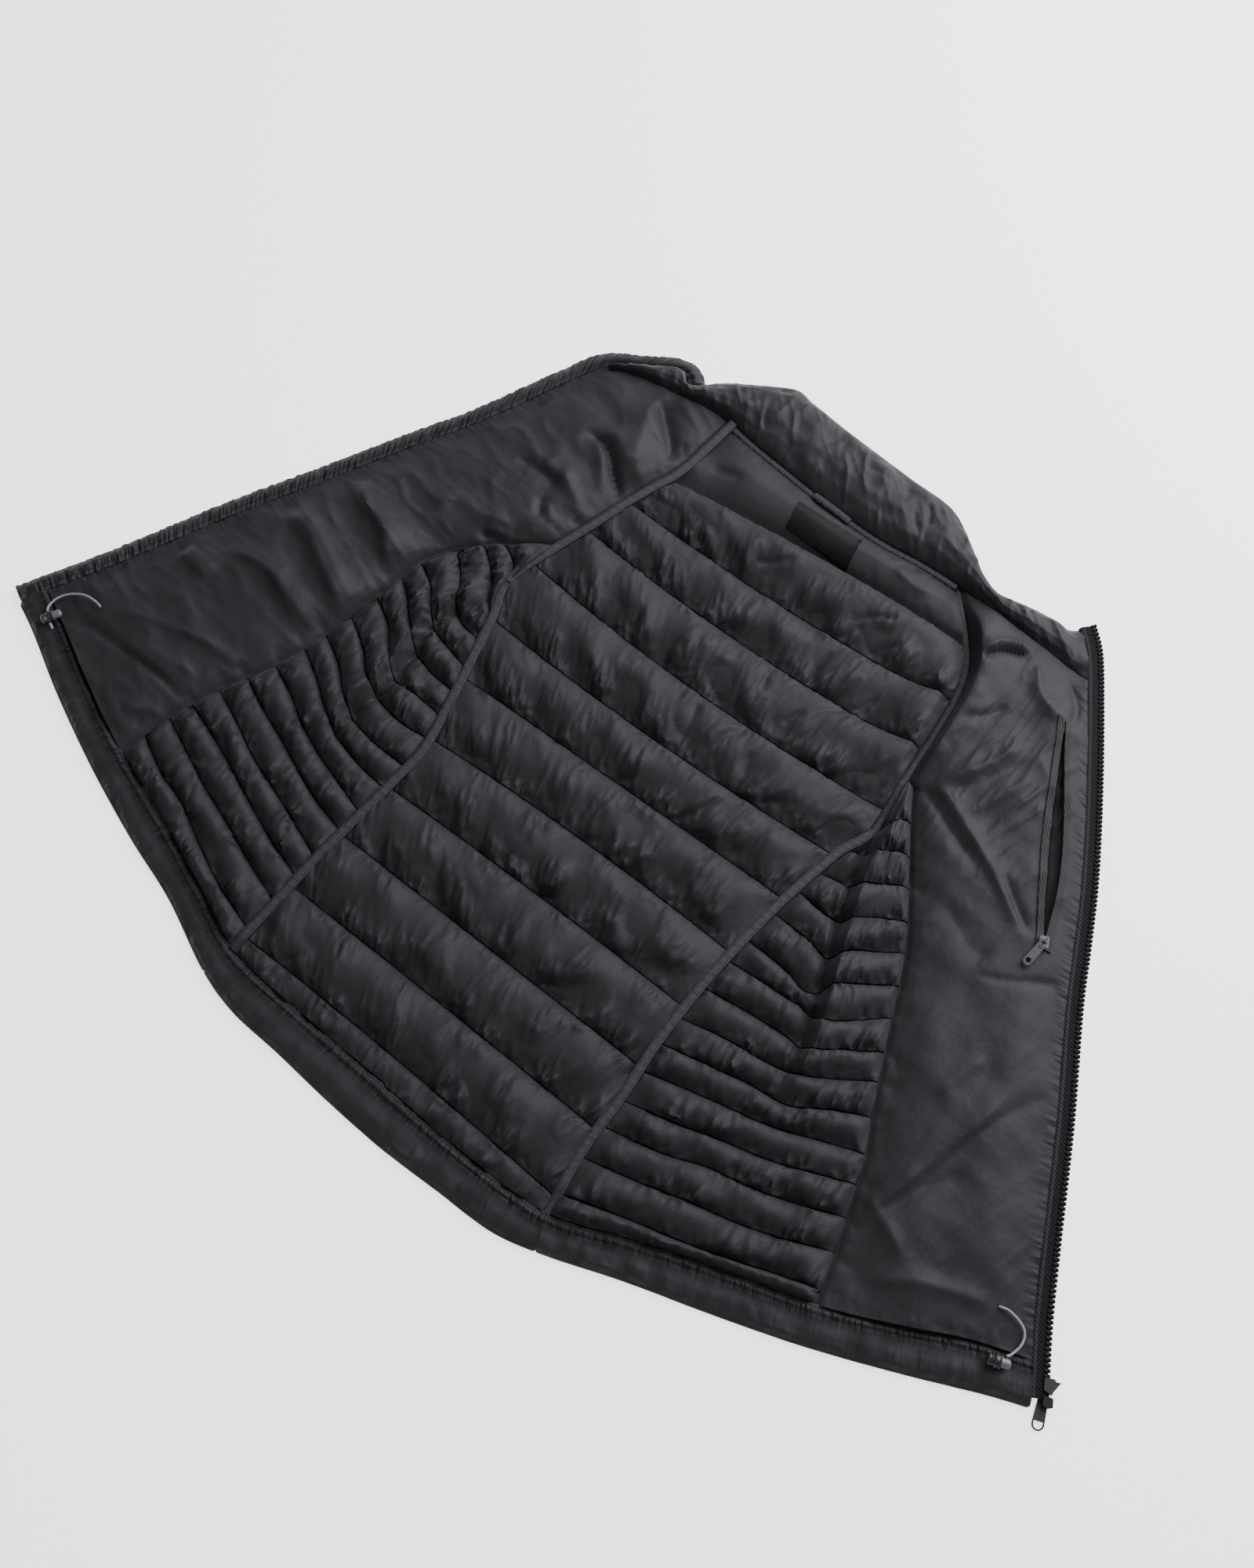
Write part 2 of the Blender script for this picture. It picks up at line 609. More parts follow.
def end_ease(count, soft):
    """Rises from 0 at both ends of a row of points to 1, over a soft share of it."""
    place = np.linspace(0.0, 1.0, count)
    return np.sin(np.clip(np.minimum(place, 1.0 - place) / soft, 0.0, 1.0) * math.pi / 2)


def eased(count, start, soft):
    """The same rise from a start value to 1."""
    return start + (1 - start) * end_ease(count, soft)


def across_grid(lines, line_rows, columns):
    """Plan points between stitch lines, and each row's baffle and share of its height."""
    left, right = back_side(-1), back_side(1)
    share = np.linspace(0.0, 1.0, columns + 1)
    plan = []
    places = []
    for index, (low, high) in enumerate(zip(lines, lines[1:])):
        rows = line_rows[index]
        last = index == len(lines) - 2
        for part in list(dense(rows)) + ([1.0] if last else []):
            across = share * 280.0 - 140.0
            for _ in range(3):
                ups = (1 - part) * low(across) + part * high(across)
                start = np.interp(ups[0], left[:, 1], left[:, 0])
                stop = np.interp(ups[-1], right[:, 1], right[:, 0])
                across = start + (stop - start) * share
            plan.append(np.column_stack([across, ups]))
            places.append((index + int(part), part % 1.0))
    return np.stack(plan), places


def puffed(share):
    """A baffle's rise between two stitch lines, its crest nearer the upper one."""
    return np.sin(np.pi * share ** 1.4) ** 0.62


def soft_noise(points, size, rng, waves=14):
    """A smooth, gently uneven field over plan points, from -1 to 1."""
    field = np.zeros(len(points))
    for _ in range(waves):
        turn = rng.uniform(0.0, 2 * math.pi)
        pace = 2 * math.pi / (size * rng.uniform(0.7, 1.6))
        way = np.array((math.cos(turn), math.sin(turn))) * pace
        field += np.sin(points @ way + rng.uniform(0.0, 2 * math.pi))
    return field / math.sqrt(waves)


def value_noise(points, wide, long, turn, rng):
    """A random field over plan points, from -1 to 1, drawn out along one direction."""
    cos, sin = math.cos(turn), math.sin(turn)
    x = (points[:, 0] * cos + points[:, 1] * sin) / wide
    y = (points[:, 1] * cos - points[:, 0] * sin) / long
    x, y = x - x.min() + 1.0, y - y.min() + 1.0
    grid = rng.uniform(-1.0, 1.0, (int(x.max()) + 3, int(y.max()) + 3))
    i, j = x.astype(int), y.astype(int)
    u, v = x - i, y - j
    u, v = soft_step(u), soft_step(v)
    low = grid[i, j] * (1 - u) + grid[i + 1, j] * u
    high = grid[i, j + 1] * (1 - u) + grid[i + 1, j + 1] * u
    return low * (1 - v) + high * v


def pinched(points, wide, long, turn, rng):
    """Sharp-crested wrinkles drawn out along one direction, from 0 to 1."""
    field = 1.0 - np.abs(value_noise(points, wide, long, turn, rng))
    finer = 1.0 - np.abs(value_noise(points, wide * 0.55, long * 0.7, turn + 0.3, rng))
    return (field ** 3 + 0.45 * finer ** 3) / 1.45


def bank(points, route, left, right, height, sharp=1.5):
    """A continuous fold along a route, its left and right sides of different widths."""
    path = smooth(route, 6)
    along = lengths_along(path)
    near = np.full(len(points), 1e9)
    side = np.zeros(len(points))
    share = np.zeros(len(points))
    reach = 3.5 * max(left, right)
    low, high = path.min(axis=0) - reach, path.max(axis=0) + reach
    picked = np.flatnonzero(np.all((points > low) & (points < high), axis=1))
    here = points[picked]
    for index, (start, stop) in enumerate(zip(path, path[1:])):
        run = stop - start
        part = np.clip((here - start) @ run / (run @ run), 0.0, 1.0)
        away = here - start - part[:, None] * run
        gap = np.linalg.norm(away, axis=1)
        closer = gap < near[picked]
        chosen = picked[closer]
        near[chosen] = gap[closer]
        side[chosen] = (run[0] * away[:, 1] - run[1] * away[:, 0])[closer]
        share[chosen] = (along[index] + part * (along[index + 1] - along[index]))[closer]
    share /= along[-1]
    level = np.clip(np.minimum(share, 1.0 - share) / 0.25, 0.0, 1.0)
    level = soft_step(level)
    wide = np.where(side > 0, left, right)
    return height * level * np.exp(-np.minimum(near / wide, 9.0) ** sharp)


def dense(count):
    """Shares from one stitch line to the next, closer together beside the lines."""
    even = np.arange(count) / count
    return even - 0.55 * np.sin(2 * math.pi * even) / (2 * math.pi)


def baffle_relief(plan, part, tall, ends, wrinkle, leans, rng):
    """Height of down baffles over their stitch lines, with the wrinkles the thread draws in.

    wrinkle gives the wrinkles' width, length and height, in mm, and leans how far they lean
    at the left and right ends. The cloth's own map and how hard the thread gathers it come
    back too.
    """
    wide, long, high = wrinkle
    shape = plan.shape[:2]
    across = np.linalg.norm(np.diff(plan, axis=1), axis=2)
    across = np.hstack([np.zeros((shape[0], 1)), np.cumsum(across, axis=1)])
    across += plan[:, :1, 0]
    upward = lengths_along(plan[:, shape[1] // 2])
    within = upward - np.maximum.accumulate(np.where(part == 0.0, upward, 0.0))
    lean = np.interp(across, (across.min(), across.max()), leans)
    cloth = np.column_stack([(across + within[:, None] * lean).ravel(),
                             (upward[:, None] + np.zeros(shape)).ravel()])
    rise = (puffed(part) * tall)[:, None] * ends[None, :]
    rise *= 1.0 + 0.12 * soft_noise(cloth, 9.0 * wide, rng).reshape(shape)
    valley = np.clip(rise / 3.0, 0.3, 1.0)
    foot = hump(part, 0.5) + 0.5 * hump(1 - part, 0.22) + 0.15
    uneven = np.clip(0.7 + 0.8 * soft_noise(cloth, 34.0, rng), 0.12, 1.6).reshape(shape)
    folds = -1.0
    for turn in (0.10, -0.14):
        folds = folds + 1.5 * pinched(cloth, wide * 1.2, long * 1.3, turn, rng)
    folds += 0.9 * value_noise(cloth, wide * 2.2, long * 2.2, 0.0, rng)
    rise += high * folds.reshape(shape) * foot[:, None] * uneven * valley
    pucker = pinched(cloth, 3.6, 10.0, 0.1, rng).reshape(shape)
    beside = hump(rise, 3.2)
    pull = foot[:, None] * uneven * np.where(part == 0.0, 0.0, 1.0)[:, None]
    return rise + 0.8 * (pucker - 0.3) * beside, cloth, pull.ravel()


def folded(points, table):
    """Height of the folds of a table: left and right widths, height, and the route."""
    rise = np.zeros(len(points))
    for left, right, height, *route in table:
        rise += bank(points, np.array(route, dtype=float).reshape(-1, 2), left, right, height)
    return rise


BACK_FOLDS = (
    (1.8, 2.4, -2.6, 55, 528, 66, 541, 85, 551), (1.8, 2.4, -2.6, 78, 512, 84, 524, 96, 538),
    (1.8, 2.4, -2.6, 58, 469, 56, 484, 56, 503), (1.8, 2.4, -2.4, 87, 466, 96, 473, 105, 490),
    (1.8, 2.4, -2.4, -35, 526, -22, 532, -6, 546), (1.8, 2.4, -2.2, 53, 512, 58, 522, 65, 532),
    (2.0, 2.6, -2.6, 36, 439, 30, 455, 30, 471), (2.0, 2.6, -2.4, 61, 428, 64, 438, 71, 448),
    (3, 3, -2.2, 0, 411, 5, 399, 9, 386, 10, 371),
    (3, 3, -2.2, 46, 412, 36, 399, 31, 385, 30, 373), (3, 3, 1.8, 42, 414, 30, 401, 25, 385),
    (1.6, 2.4, -2.8, 61, 359, 59, 350, 49, 332, 39, 320),
    (2.5, 3, 1.8, 59, 362, 55, 352, 45, 335, 36, 323), (2, 2.5, 2.2, -6, 359, -1, 342, 5, 321),
    (2.4, 2.4, -1.6, -9, 355, -4, 338, 1, 321), (3, 3, -1.9, 56, 398, 59, 389, 63, 378),
    (3, 3, 2.4, 2, 307, -2, 291, 0, 273), (2.5, 2.5, 2.2, 14, 295, 19, 285, 25, 274),
    (3, 3, 1.9, 41, 308, 37, 301, 35, 292), (3, 3, 1.9, 80, 308, 74, 297, 70, 284),
    (3, 3, 1.9, 87, 349, 88, 340, 90, 331), (2, 3, -2.4, 83, 370, 90, 377, 99, 382),
    (3, 3, 2.2, -1, 455, -5, 431, -4, 416), (3, 3, 2.0, -31, 456, -35, 446, -36, 436),
    (3, 3, -3.0, -76, 433, -73, 424, -68, 415), (3, 3, 2.0, -10, 502, -11, 490, -11, 478),
    (2, 2.6, -2.2, 62, 508, 57, 490, 55, 471), (2, 2.6, -2.2, 93, 468, 78, 454, 74, 438))
TUNNEL_WHOLE = np.vstack([TUNNEL[-1][::-1], TUNNEL[1]])
# Swellings beside the deep creases: under the yoke and along the left armhole
BACK_RIMS = ((6, 22, 4.5, -112, 538, 0, 551, 120, 556), (20, 6, 9.5, 148, 440, 143, 500, 134, 558))
BACK_ROWS = [12] + [32] * 7 + [34, 28, 31]
BACK_COLUMNS = 236
rng = np.random.default_rng(4)
back_lines = [lambda across: up_to(TUNNEL_WHOLE, across)]
back_lines += [lambda across, line=line: line_up(line, across) for line in QUILT_LINES]
plan, places = across_grid(back_lines, BACK_ROWS, BACK_COLUMNS)
plan = inset(plan)
points = plan.reshape(-1, 2)
part = np.array([part for _, part in places])
# A baffle with fewer rows than the rest is a narrower one, and puffs up less
last = len(BACK_ROWS) - 1
depth = np.array([min(1.0, BACK_ROWS[min(index, last)] / 32) for index, _ in places])
ends = eased(BACK_COLUMNS + 1, 0.3, 0.09)
rise, cloth, pull = baffle_relief(plan, part, BACK_PUFF * depth, ends, BACK_WRINKLES,
                                  BACK_LEANS, rng)
rows = []
for line in [None] + list(QUILT_LINES):
    across = np.linspace(-150, 150, 60)
    ups = up_to(TUNNEL_WHOLE, across) if line is None else line_up(line, across)
    path = np.column_stack([across, ups])
    rows += gathers(path, BACK_GATHERS, rng)
detail = creases(points, rows) + folded(points, BACK_FOLDS)
rise += detail.reshape(rise.shape) * np.clip(rise / 3.0, 0.3, 1.0)
detail = broad_folds(points) + folded(points, BACK_RIMS)
back_spots = np.dstack([plan, np.maximum(SEAM_HEIGHT + rise + detail.reshape(rise.shape), 3.2)])
back = show(cloth_body("quilted_back", back_spots, gather=(cloth, pull)), quilted_nylon,
            ["back_panel"])
starts = [sum(BACK_ROWS[:k]) for k in range(1, len(BACK_ROWS))]
quilt_threads = [back_spots[row] for row in starts]

# Back yoke: a padded band across the shoulders, over a deep crease where it meets the baffles.
# It is sewn to the collar along the neck seam and carries the label.

YOKE_PUFF = 6.0
# Shares of its height on the way from the crease up to the neck
YOKE_PROFILE = ((0.0, 0.12, 0.35, 0.6, 0.85, 1.0), (0.0, 0.12, 0.6, 1.0, 0.7, 0.1))
YOKE_FOLDS = (
    (3, 4, 2.4, 53, 586, 74, 582, 92, 586), (2.4, 2.4, -2.6, 53, 592, 62, 594, 73, 599),
    (3, 3, -2.4, -111, 575, -98, 578, -81, 580))
# The swelling beside the left armhole's crease
YOKE_RIMS = ((18, 5, 6.0, 134, 560, 118, 596, 100, 608),)
YOKE_ROWS = 28
YOKE_COLUMNS = 120
YOKE_HEAD = shifted(NECK, -2.5)
rng = np.random.default_rng(11)
yoke_lines = [lambda across: line_up(QUILT_LINES[-1], across),
              lambda across: up_to(YOKE_HEAD, across)]
plan, places = across_grid(yoke_lines, [YOKE_ROWS], YOKE_COLUMNS)
plan = inset(plan)
points = plan.reshape(-1, 2)
share = np.array([1.0 if index else part for index, part in places])
profile = np.interp(share, *YOKE_PROFILE)
ends = end_ease(YOKE_COLUMNS + 1, 0.13)
rise = YOKE_PUFF * np.outer(profile, ends)
rise *= 1.0 + 0.12 * soft_noise(points, 70.0, rng).reshape(rise.shape)
rows = gathers(plan[0], ((1, 7.0, 20.0, 1.2, 2.6, 0.45),), rng)
rows += gathers(plan[-1], ((-1, 7.0, 16.0, 0.9, 2.4, 0.45),), rng)
detail = creases(points, rows) + folded(points, YOKE_FOLDS)
rise += detail.reshape(rise.shape) * np.clip(rise / 2.0, 0.2, 1.0)
dip = 3.0 * hump(share, 0.12)[:, None]
detail = broad_folds(points) + folded(points, YOKE_RIMS)
top = SEAM_HEIGHT - dip + rise + detail.reshape(rise.shape)
yoke_spots = np.dstack([plan, np.maximum(top, 2.2)])
yoke = show(cloth_body("padded_yoke", yoke_spots), quilted_nylon, ["back_yoke"])

# Label: a bare black satin tab, folded under and stitched down under the neck seam.
# It carries nothing here; its weave is a fine satin with a faint sheen along the threads.

LABEL_CORNERS = ((-32, 566.7), (25.4, 564.4), (21, 591.5), (-36, 590))
LABEL_THICK = 0.7
LABEL_LIFT = 0.5


def heights_on(piece, plan):
    """Heights of a piece of cloth under a grid of plan points, in mm."""
    tree = BVHTree.FromPolygons([vert.co.copy() for vert in piece.data.vertices],
                                [list(face.vertices) for face in piece.data.polygons])
    points = plan.reshape(-1, 2)
    heights = []
    for x, y, _ in laid(np.column_stack([points, np.zeros(len(points))])):
        hit = tree.ray_cast(Vector((x, y, 0.2)), Vector((0.0, 0.0, -1.0)))[0]
        heights.append(hit.z * 1000.0 if hit else 0.0)
    return np.array(heights).reshape(plan.shape[:2])


def cloth_layer(name, spots, thick):
    """A thin closed layer between a grid of points and the same grid raised, in mm."""
    rim, quads = grid_faces(*spots.shape[:2])
    under = spots.reshape(-1, 3)
    over = under + (0.0, 0.0, thick)
    count = len(under)
    nxt = np.roll(rim, -1)
    walls = np.column_stack([rim, nxt, nxt + count, rim + count])
    faces = np.vstack([quads[:, ::-1], quads + count, walls])
    faces = [tuple(int(k) for k in face) for face in faces]
    mesh = mesh_of(name, laid(np.vstack([under, over])), faces, sharp=55)
    write_map(mesh, "cloth_map", np.vstack([under[:, :2], over[:, :2]]))
    return mesh


def four_sided(corners, rows, columns):
    """Plan points evenly between four corners."""
    a, b, c, d = (np.array(corner, dtype=float) for corner in corners)
    u = np.linspace(0, 1, columns + 1)[None, :, None]
    v = np.linspace(0, 1, rows + 1)[:, None, None]
    return (1 - v) * ((1 - u) * a + u * b) + v * ((1 - u) * d + u * c)


# Woven polyester satin: deep black, with a faint sheen in fine lines across it.
# Its threads are about 0.15 mm; they are drawn 1.7 mm wide so that they just show.
label_satin = patterned("woven_satin_label", ("#050507",), 190.0, (0.3, 0.0003), "Y",
                        Roughness=0.5, Specular_IOR_Level=0.12)
plan = four_sided(LABEL_CORNERS, 22, 46)
heights = heights_on(yoke, plan)
# The satin bridges the cloth's fine wrinkles, and so lies over them smoothly
for _ in range(6):
    heights[1:-1, 1:-1] = (heights[:-2, 1:-1] + heights[2:, 1:-1] + heights[1:-1, :-2]
                           + heights[1:-1, 2:]) / 4
label_spots = np.dstack([plan, heights + LABEL_LIFT])
show(cloth_layer("bare_label", label_spots, LABEL_THICK), label_satin, ["label"])

# Side panels: narrow baffles that fan out from the binding to the edge of the front lining.
# They are stitched twice as close as the back, so they stand firmer and pucker harder.

ARMPIT = 448.0
SIDE_PUFF = 8.5
SIDE_GATHERS = ((1, 6.0, 16.0, 2.3, 1.5, 0.3), (-1, 6.0, 11.0, 1.7, 1.3, 0.3))
SIDE_WRINKLES = (3.2, 8.0, 2.0)
SIDE_LEANS = (0.25, 0.05)
NARROW_ROWS = 13
NARROW_STEPS = 18
LINING_SEAM = ((-310, 125, 315, 111), (-303, 160, 300, 167), (-288, 204, 285, 212),
               (-269, 241, 266, 254), (-254, 288, 248, 297), (-244, 335, 229, 343),
               (-234, 383, 204, 384), (-206, 419, 178, 424), (-169, 446, 164, 449))
LINING = {-1: smooth([row[:2] for row in LINING_SEAM]), 1: smooth([row[2:] for row in LINING_SEAM])}
SIDE = {-1: "right", 1: "left"}
# Stitch lines of the narrow baffles: six places across and up along each one, left to right
NARROW_LINES = {
    -1: ((-311, 144, -279, 130, -246, 119, -215, 103, -183, 89, -149, 78),
         (-302, 165, -272, 152, -242, 139, -211, 128, -180, 116, -149, 105),
         (-291, 183, -263, 172, -235, 161, -207, 149, -179, 138, -150, 128),
         (-284, 204, -258, 191, -231, 178, -202, 168, -174, 158, -146, 147),
         (-276, 224, -250, 211, -224, 201, -198, 190, -172, 180, -144, 173),
         (-263, 244, -240, 231, -217, 218, -193, 208, -167, 200, -142, 192),
         (-258, 268, -236, 254, -214, 239, -192, 227, -166, 220, -140, 217),
         (-250, 286, -230, 272, -211, 256, -190, 244, -166, 240, -141, 239),
         (-243, 309, -225, 294, -207, 278, -186, 268, -163, 264, -139, 266),
         (-238, 333, -221, 319, -206, 303, -190, 289, -168, 288, -146, 286),
         (-238, 358, -223, 344, -208, 329, -192, 316, -172, 309, -151, 307),
         (-231, 376, -217, 364, -205, 350, -192, 338, -174, 332, -156, 328),
         (-222, 402, -210, 390, -199, 377, -191, 362, -177, 353, -160, 351),
         (-206, 417, -197, 409, -188, 401, -181, 392, -175, 382, -169, 372),
         (-189, 427, -183, 420, -177, 413, -173, 405, -173, 396, -173, 390)),
    1: ((147, 67, 181, 79, 215, 88, 249, 98, 282, 110, 316, 120),
        (146, 94, 178, 104, 210, 113, 243, 121, 275, 132, 306, 145),
        (146, 119, 177, 128, 207, 139, 239, 146, 270, 156, 300, 168),
        (144, 141, 174, 150, 204, 159, 235, 167, 264, 178, 294, 190),
        (142, 165, 170, 174, 200, 181, 229, 188, 257, 199, 285, 210),
        (139, 188, 168, 195, 196, 201, 225, 205, 250, 220, 277, 233),
        (139, 210, 166, 217, 193, 220, 220, 226, 243, 240, 266, 256),
        (141, 237, 166, 241, 192, 243, 216, 245, 236, 260, 257, 275),
        (143, 263, 167, 265, 190, 266, 213, 267, 231, 282, 248, 298),
        (149, 283, 170, 281, 191, 277, 204, 292, 221, 306, 237, 320),
        (151, 310, 169, 309, 187, 306, 200, 319, 214, 330, 228, 342),
        (154, 334, 168, 331, 181, 334, 193, 344, 204, 353, 216, 362),
        (156, 354, 167, 358, 176, 363, 185, 369, 194, 376, 202, 383),
        (164, 381, 168, 386, 173, 390, 179, 394, 184, 398, 189, 402),
        (164, 405, 165, 409, 167, 413, 170, 417, 173, 420, 175, 423))}
# The fold that the slack of each armhole makes: its route, then its banks and its trench
SIDE_FOLDS = {
    -1: (((-176, 398), (-190, 359), (-196, 342), (-192, 283), (-198, 248), (-199, 222),
          (-208, 196)), ((-6.0, 3.0, 20.0, 9.0), (3.5, 4.0, 3.0, -6.0))),
    1: (((153, 468), (164, 412), (168, 377), (180, 339), (191, 306), (201, 279), (211, 244),
         (214, 223), (222, 190)), ((6.0, 22.0, 3.2, 10.0), (-3.0, 2.4, 2.6, -8.0)))}


def above(path, low, high=1000.0):
    """The stretch of a path between two heights up the vest."""
    return path[(path[:, 1] >= low) & (path[:, 1] <= high)]


def fit_row(plan, row, path, reach):
    """Moves an end row onto a path and eases the rows next to it after it."""
    move = up_to(path, plan[row, :, 0]) - plan[row, :, 1]
    step = 1 if row == 0 else -1
    for count in range(reach):
        plan[row + step * count, :, 1] += move * (1.0 - count / reach)
    return plan


def between(rails, counts):
    """Plan points between side-by-side rails, with steps between each two."""
    columns = []
    for left, right, count in zip(rails, rails[1:], counts):
        for step in range(count):
            columns.append(left * (1 - step / count) + right * (step / count))
    return np.stack(columns + [rails[-1]], axis=1)


side_threads = []
for side in (-1, 1):
    rng = np.random.default_rng(21 + side)
    binding = above(back_side(side, -1), 0.0, ARMPIT + 4.0)
    edges = (LINING[side], binding) if side < 0 else (binding, LINING[side])
    lines = [np.array(line, dtype=float).reshape(6, 2) for line in NARROW_LINES[side]]
    for line in lines:
        for end, edge in ((0, edges[0]), (5, edges[1])):
            line[end, 1] = np.clip(line[end, 1], edge[0, 1], edge[-1, 1])
            line[end, 0] = np.interp(line[end, 1], edge[:, 1], edge[:, 0])
    share = np.linspace(0.0, 1.0, 6)[:, None]
    low = edges[0][0] * (1 - share) + edges[1][0] * share
    high = edges[0][-1] * (1 - share) + edges[1][-1] * share
    lines = [low] + lines + [high]
    plan = []
    part = []
    for first_line, next_line in zip(lines, lines[1:]):
        for step in dense(NARROW_ROWS):
            plan.append(smooth(first_line * (1 - step) + next_line * step, NARROW_STEPS))
            part.append(step)
    plan.append(smooth(lines[-1], NARROW_STEPS))
    part = np.array(part + [0.0])
    plan = inset(fit_row(np.stack(plan), 0, TUNNEL[side], 14))
    points = plan.reshape(-1, 2)
    shape = plan.shape[:2]
    ends = eased(shape[1], 0.2, 0.08)
    rise, cloth, pull = baffle_relief(plan, part, np.full(shape[0], SIDE_PUFF), ends,
                                      SIDE_WRINKLES, SIDE_LEANS, rng)
    rows = []
    for row in range(0, shape[0], NARROW_ROWS):
        rows += gathers(plan[row], SIDE_GATHERS, rng)
    rise += creases(points, rows).reshape(shape) * np.clip(rise / 3.0, 0.2, 1.0)
    route, banks = SIDE_FOLDS[side]
    folds = np.zeros(len(points))
    for aside, left, right, height in banks:
        folds += bank(points, np.array(route) + (aside, 0.0), left, right, height)
    top = SEAM_HEIGHT + rise + folds.reshape(shape)
    if side < 0:
        knot = hump(points[:, 0] + 190.0, 24.0) * hump(points[:, 1] - 345.0, 55.0)
        knot *= value_noise(points, 5.5, 13.0, 0.9, rng) + value_noise(points, 4.0, 9.0, -0.5, rng)
        top += 2.6 * knot.reshape(shape)
    seam = plan[:, :1] if side < 0 else plan[:, -1:]
    near = np.linalg.norm(plan - seam, axis=2)
    top -= 3.4 * hump(near, 2.8)
    spots = np.dstack([plan, np.maximum(top, 2.4)])
    panel = show(cloth_body("quilted_side_" + SIDE[side], spots, gather=(cloth, pull)),
                 quilted_nylon, ["side_panel_" + SIDE[side]])
    side_threads += [spots[row] for row in range(NARROW_ROWS, shape[0] - 1, NARROW_ROWS)]

# Fronts: a smooth nylon lining, hanging a little loose over the padding of each front.
# Its folds run from the seams into the cloth; on the left it is cut open for the pocket zip.

FLAP_WIDTH = 12.0
CHAIN_WIDTH = 4.0
ZIP_TAPE_WIDTH = 7.0
SLACK = 0.3
FRONT_HEIGHT = 13.5
POCKET_TOP = 547
POCKET_BOTTOM = 410
POCKET_INSET = 23.0
POCKET_TAPE = 5.0
POCKET_GAPE = 4.6
POCKET_DEPTH = 3.6
FLAP_EDGE = ((-467, 175), (-429, 245), (-386, 332), (-355, 388), (-316, 461), (-292, 504),
             (-263, 567), (-248, 600), (-237, 613.5), (-221, 624), (-206, 633), (-191, 642.5),
             (-178, 645.5), (-167, 642), (-160, 635.5))
ZIP_LINE = ((470, 145.5), (455, 172), (441, 198), (421, 239), (387, 310), (349, 383),
            (331, 422), (312, 462), (291, 501), (268, 541), (244, 581), (218, 622), (201, 640))
NECK_CORNER = (-229, 602)
ZIP_CORNER = (221, 598)
# Folds of the lining: left and right widths, height, and the route, which runs as on the floor
RIGHT_FOLDS = (
    (20, 6, 7.5, -349, 345, -320, 342, -290, 326, -264, 311, -249, 294),
    (18, 5, 7.0, -319, 401, -297, 386, -276, 379, -259, 364, -247, 352),
    (14, 5, 6.0, -358, 290, -332, 298, -308, 295, -280, 286, -259, 281),
    (12, 5, 4.5, -387, 271, -365, 269, -350, 266),
    (4, 3, -3.2, -414, 175, -393, 183, -358, 184, -326, 184, -304, 181, -292, 181),
    (10, 4, 2.0, -372, 188, -342, 189, -314, 189),
    (5, 3, 1.9, -395, 199, -368, 212, -340, 220, -308, 228, -275, 229),
    (4, 3, 1.7, -340, 220, -318, 224, -281, 225), (4, 3, 1.6, -355, 195, -326, 198, -304, 202),
    (5, 5, 1.6, -402, 207, -408, 237, -405, 249), (6, 4, 3.0, -331, 145, -322, 156, -303, 163),
    (7, 5, -7.0, -178, 602, -160, 585, -147, 573, -137, 556),
    (9, 16, 5.0, -182, 599, -171, 571, -157, 542, -145, 523),
    (4, 4, -5.0, -209, 538, -193, 541, -178, 536, -166, 525, -152, 514, -144, 508),
    (14, 5, 3.0, -191, 550, -171, 544, -158, 532),
    (4, 4, -3.6, -235, 489, -215, 491, -197, 489, -187, 486),
    (9, 4, 2.6, -216, 497, -197, 496, -185, 490), (4, 5, 2.6, -198, 537, -184, 532, -160, 502),
    (5, 5, 2.6, -199, 508, -185, 493, -164, 485), (3, 3, -3.0, -196, 476, -193, 467, -185, 458),
    (3, 3, -2.6, -168, 472, -162, 474, -154, 471), (3, 3, 2.5, -189, 474, -184, 467, -175, 461),
    (2.5, 3, -2.2, -218, 422, -196, 427, -175, 434), (4, 3, 1.7, -219, 427, -195, 433, -172, 442),
    (6, 6, 2.6, -260, 414, -248, 436, -227, 433, -205, 438, -189, 441),
    (3, 3, -2.2, -141, 581, -133, 574, -124, 569))
LEFT_FOLDS = (
    (5, 4.5, -2.2, 166, 455, 194, 440, 218, 429, 238, 422),
    (8, 4, 3.0, 168, 463, 203, 447, 235, 431, 259, 417, 279, 405, 294, 399),
    (4, 4, -2.6, 251, 432, 266, 419, 286, 406, 295, 403),
    (6, 5, 2.2, 177, 456, 195, 488, 214, 525), (5, 5, 2.0, 203, 447, 219, 477, 231, 508),
    (4, 4, -1.4, 184, 453, 204, 483, 222, 517), (4, 4, -2.2, 160, 507, 176, 523, 187, 542),
    (3, 4, -1.5, 272, 356, 292, 363, 314, 378, 335, 392),
    (5, 6, -1.6, 318, 185, 327, 208, 341, 231, 350, 241),
    (6, 6, -1.6, 317, 213, 333, 253, 348, 290, 366, 323),
    (2, 3, -3.6, 147, 557, 156, 574, 168, 582, 177, 588),
    (3, 4, 3.0, 146, 562, 154, 580, 164, 588, 176, 591),
    (6, 6, 3.0, 181, 587, 197, 564, 222, 551), (4, 4, -2.2, 207, 588, 225, 575, 231, 549),
    (12, 5, 2.8, 305, 167, 322, 224, 336, 274, 341, 311),
    (8, 7, -1.6, 307, 158, 326, 219, 341, 267),
    (6, 5, 2.2, 296, 188, 319, 180, 343, 168),
    (6, 6, 2.2, 329, 142, 368, 165, 410, 179),
    (8, 8, -1.5, 226, 392, 262, 371, 283, 376),
    (5, 6, 1.6, 300, 267, 306, 292, 316, 313))
# Crumples of the right and the left lining: width, length and the way they run
RIGHT_CRUMPLES = (15.0, 44.0, 1.17)
LEFT_CRUMPLES = (12.0, 42.0, -0.31)
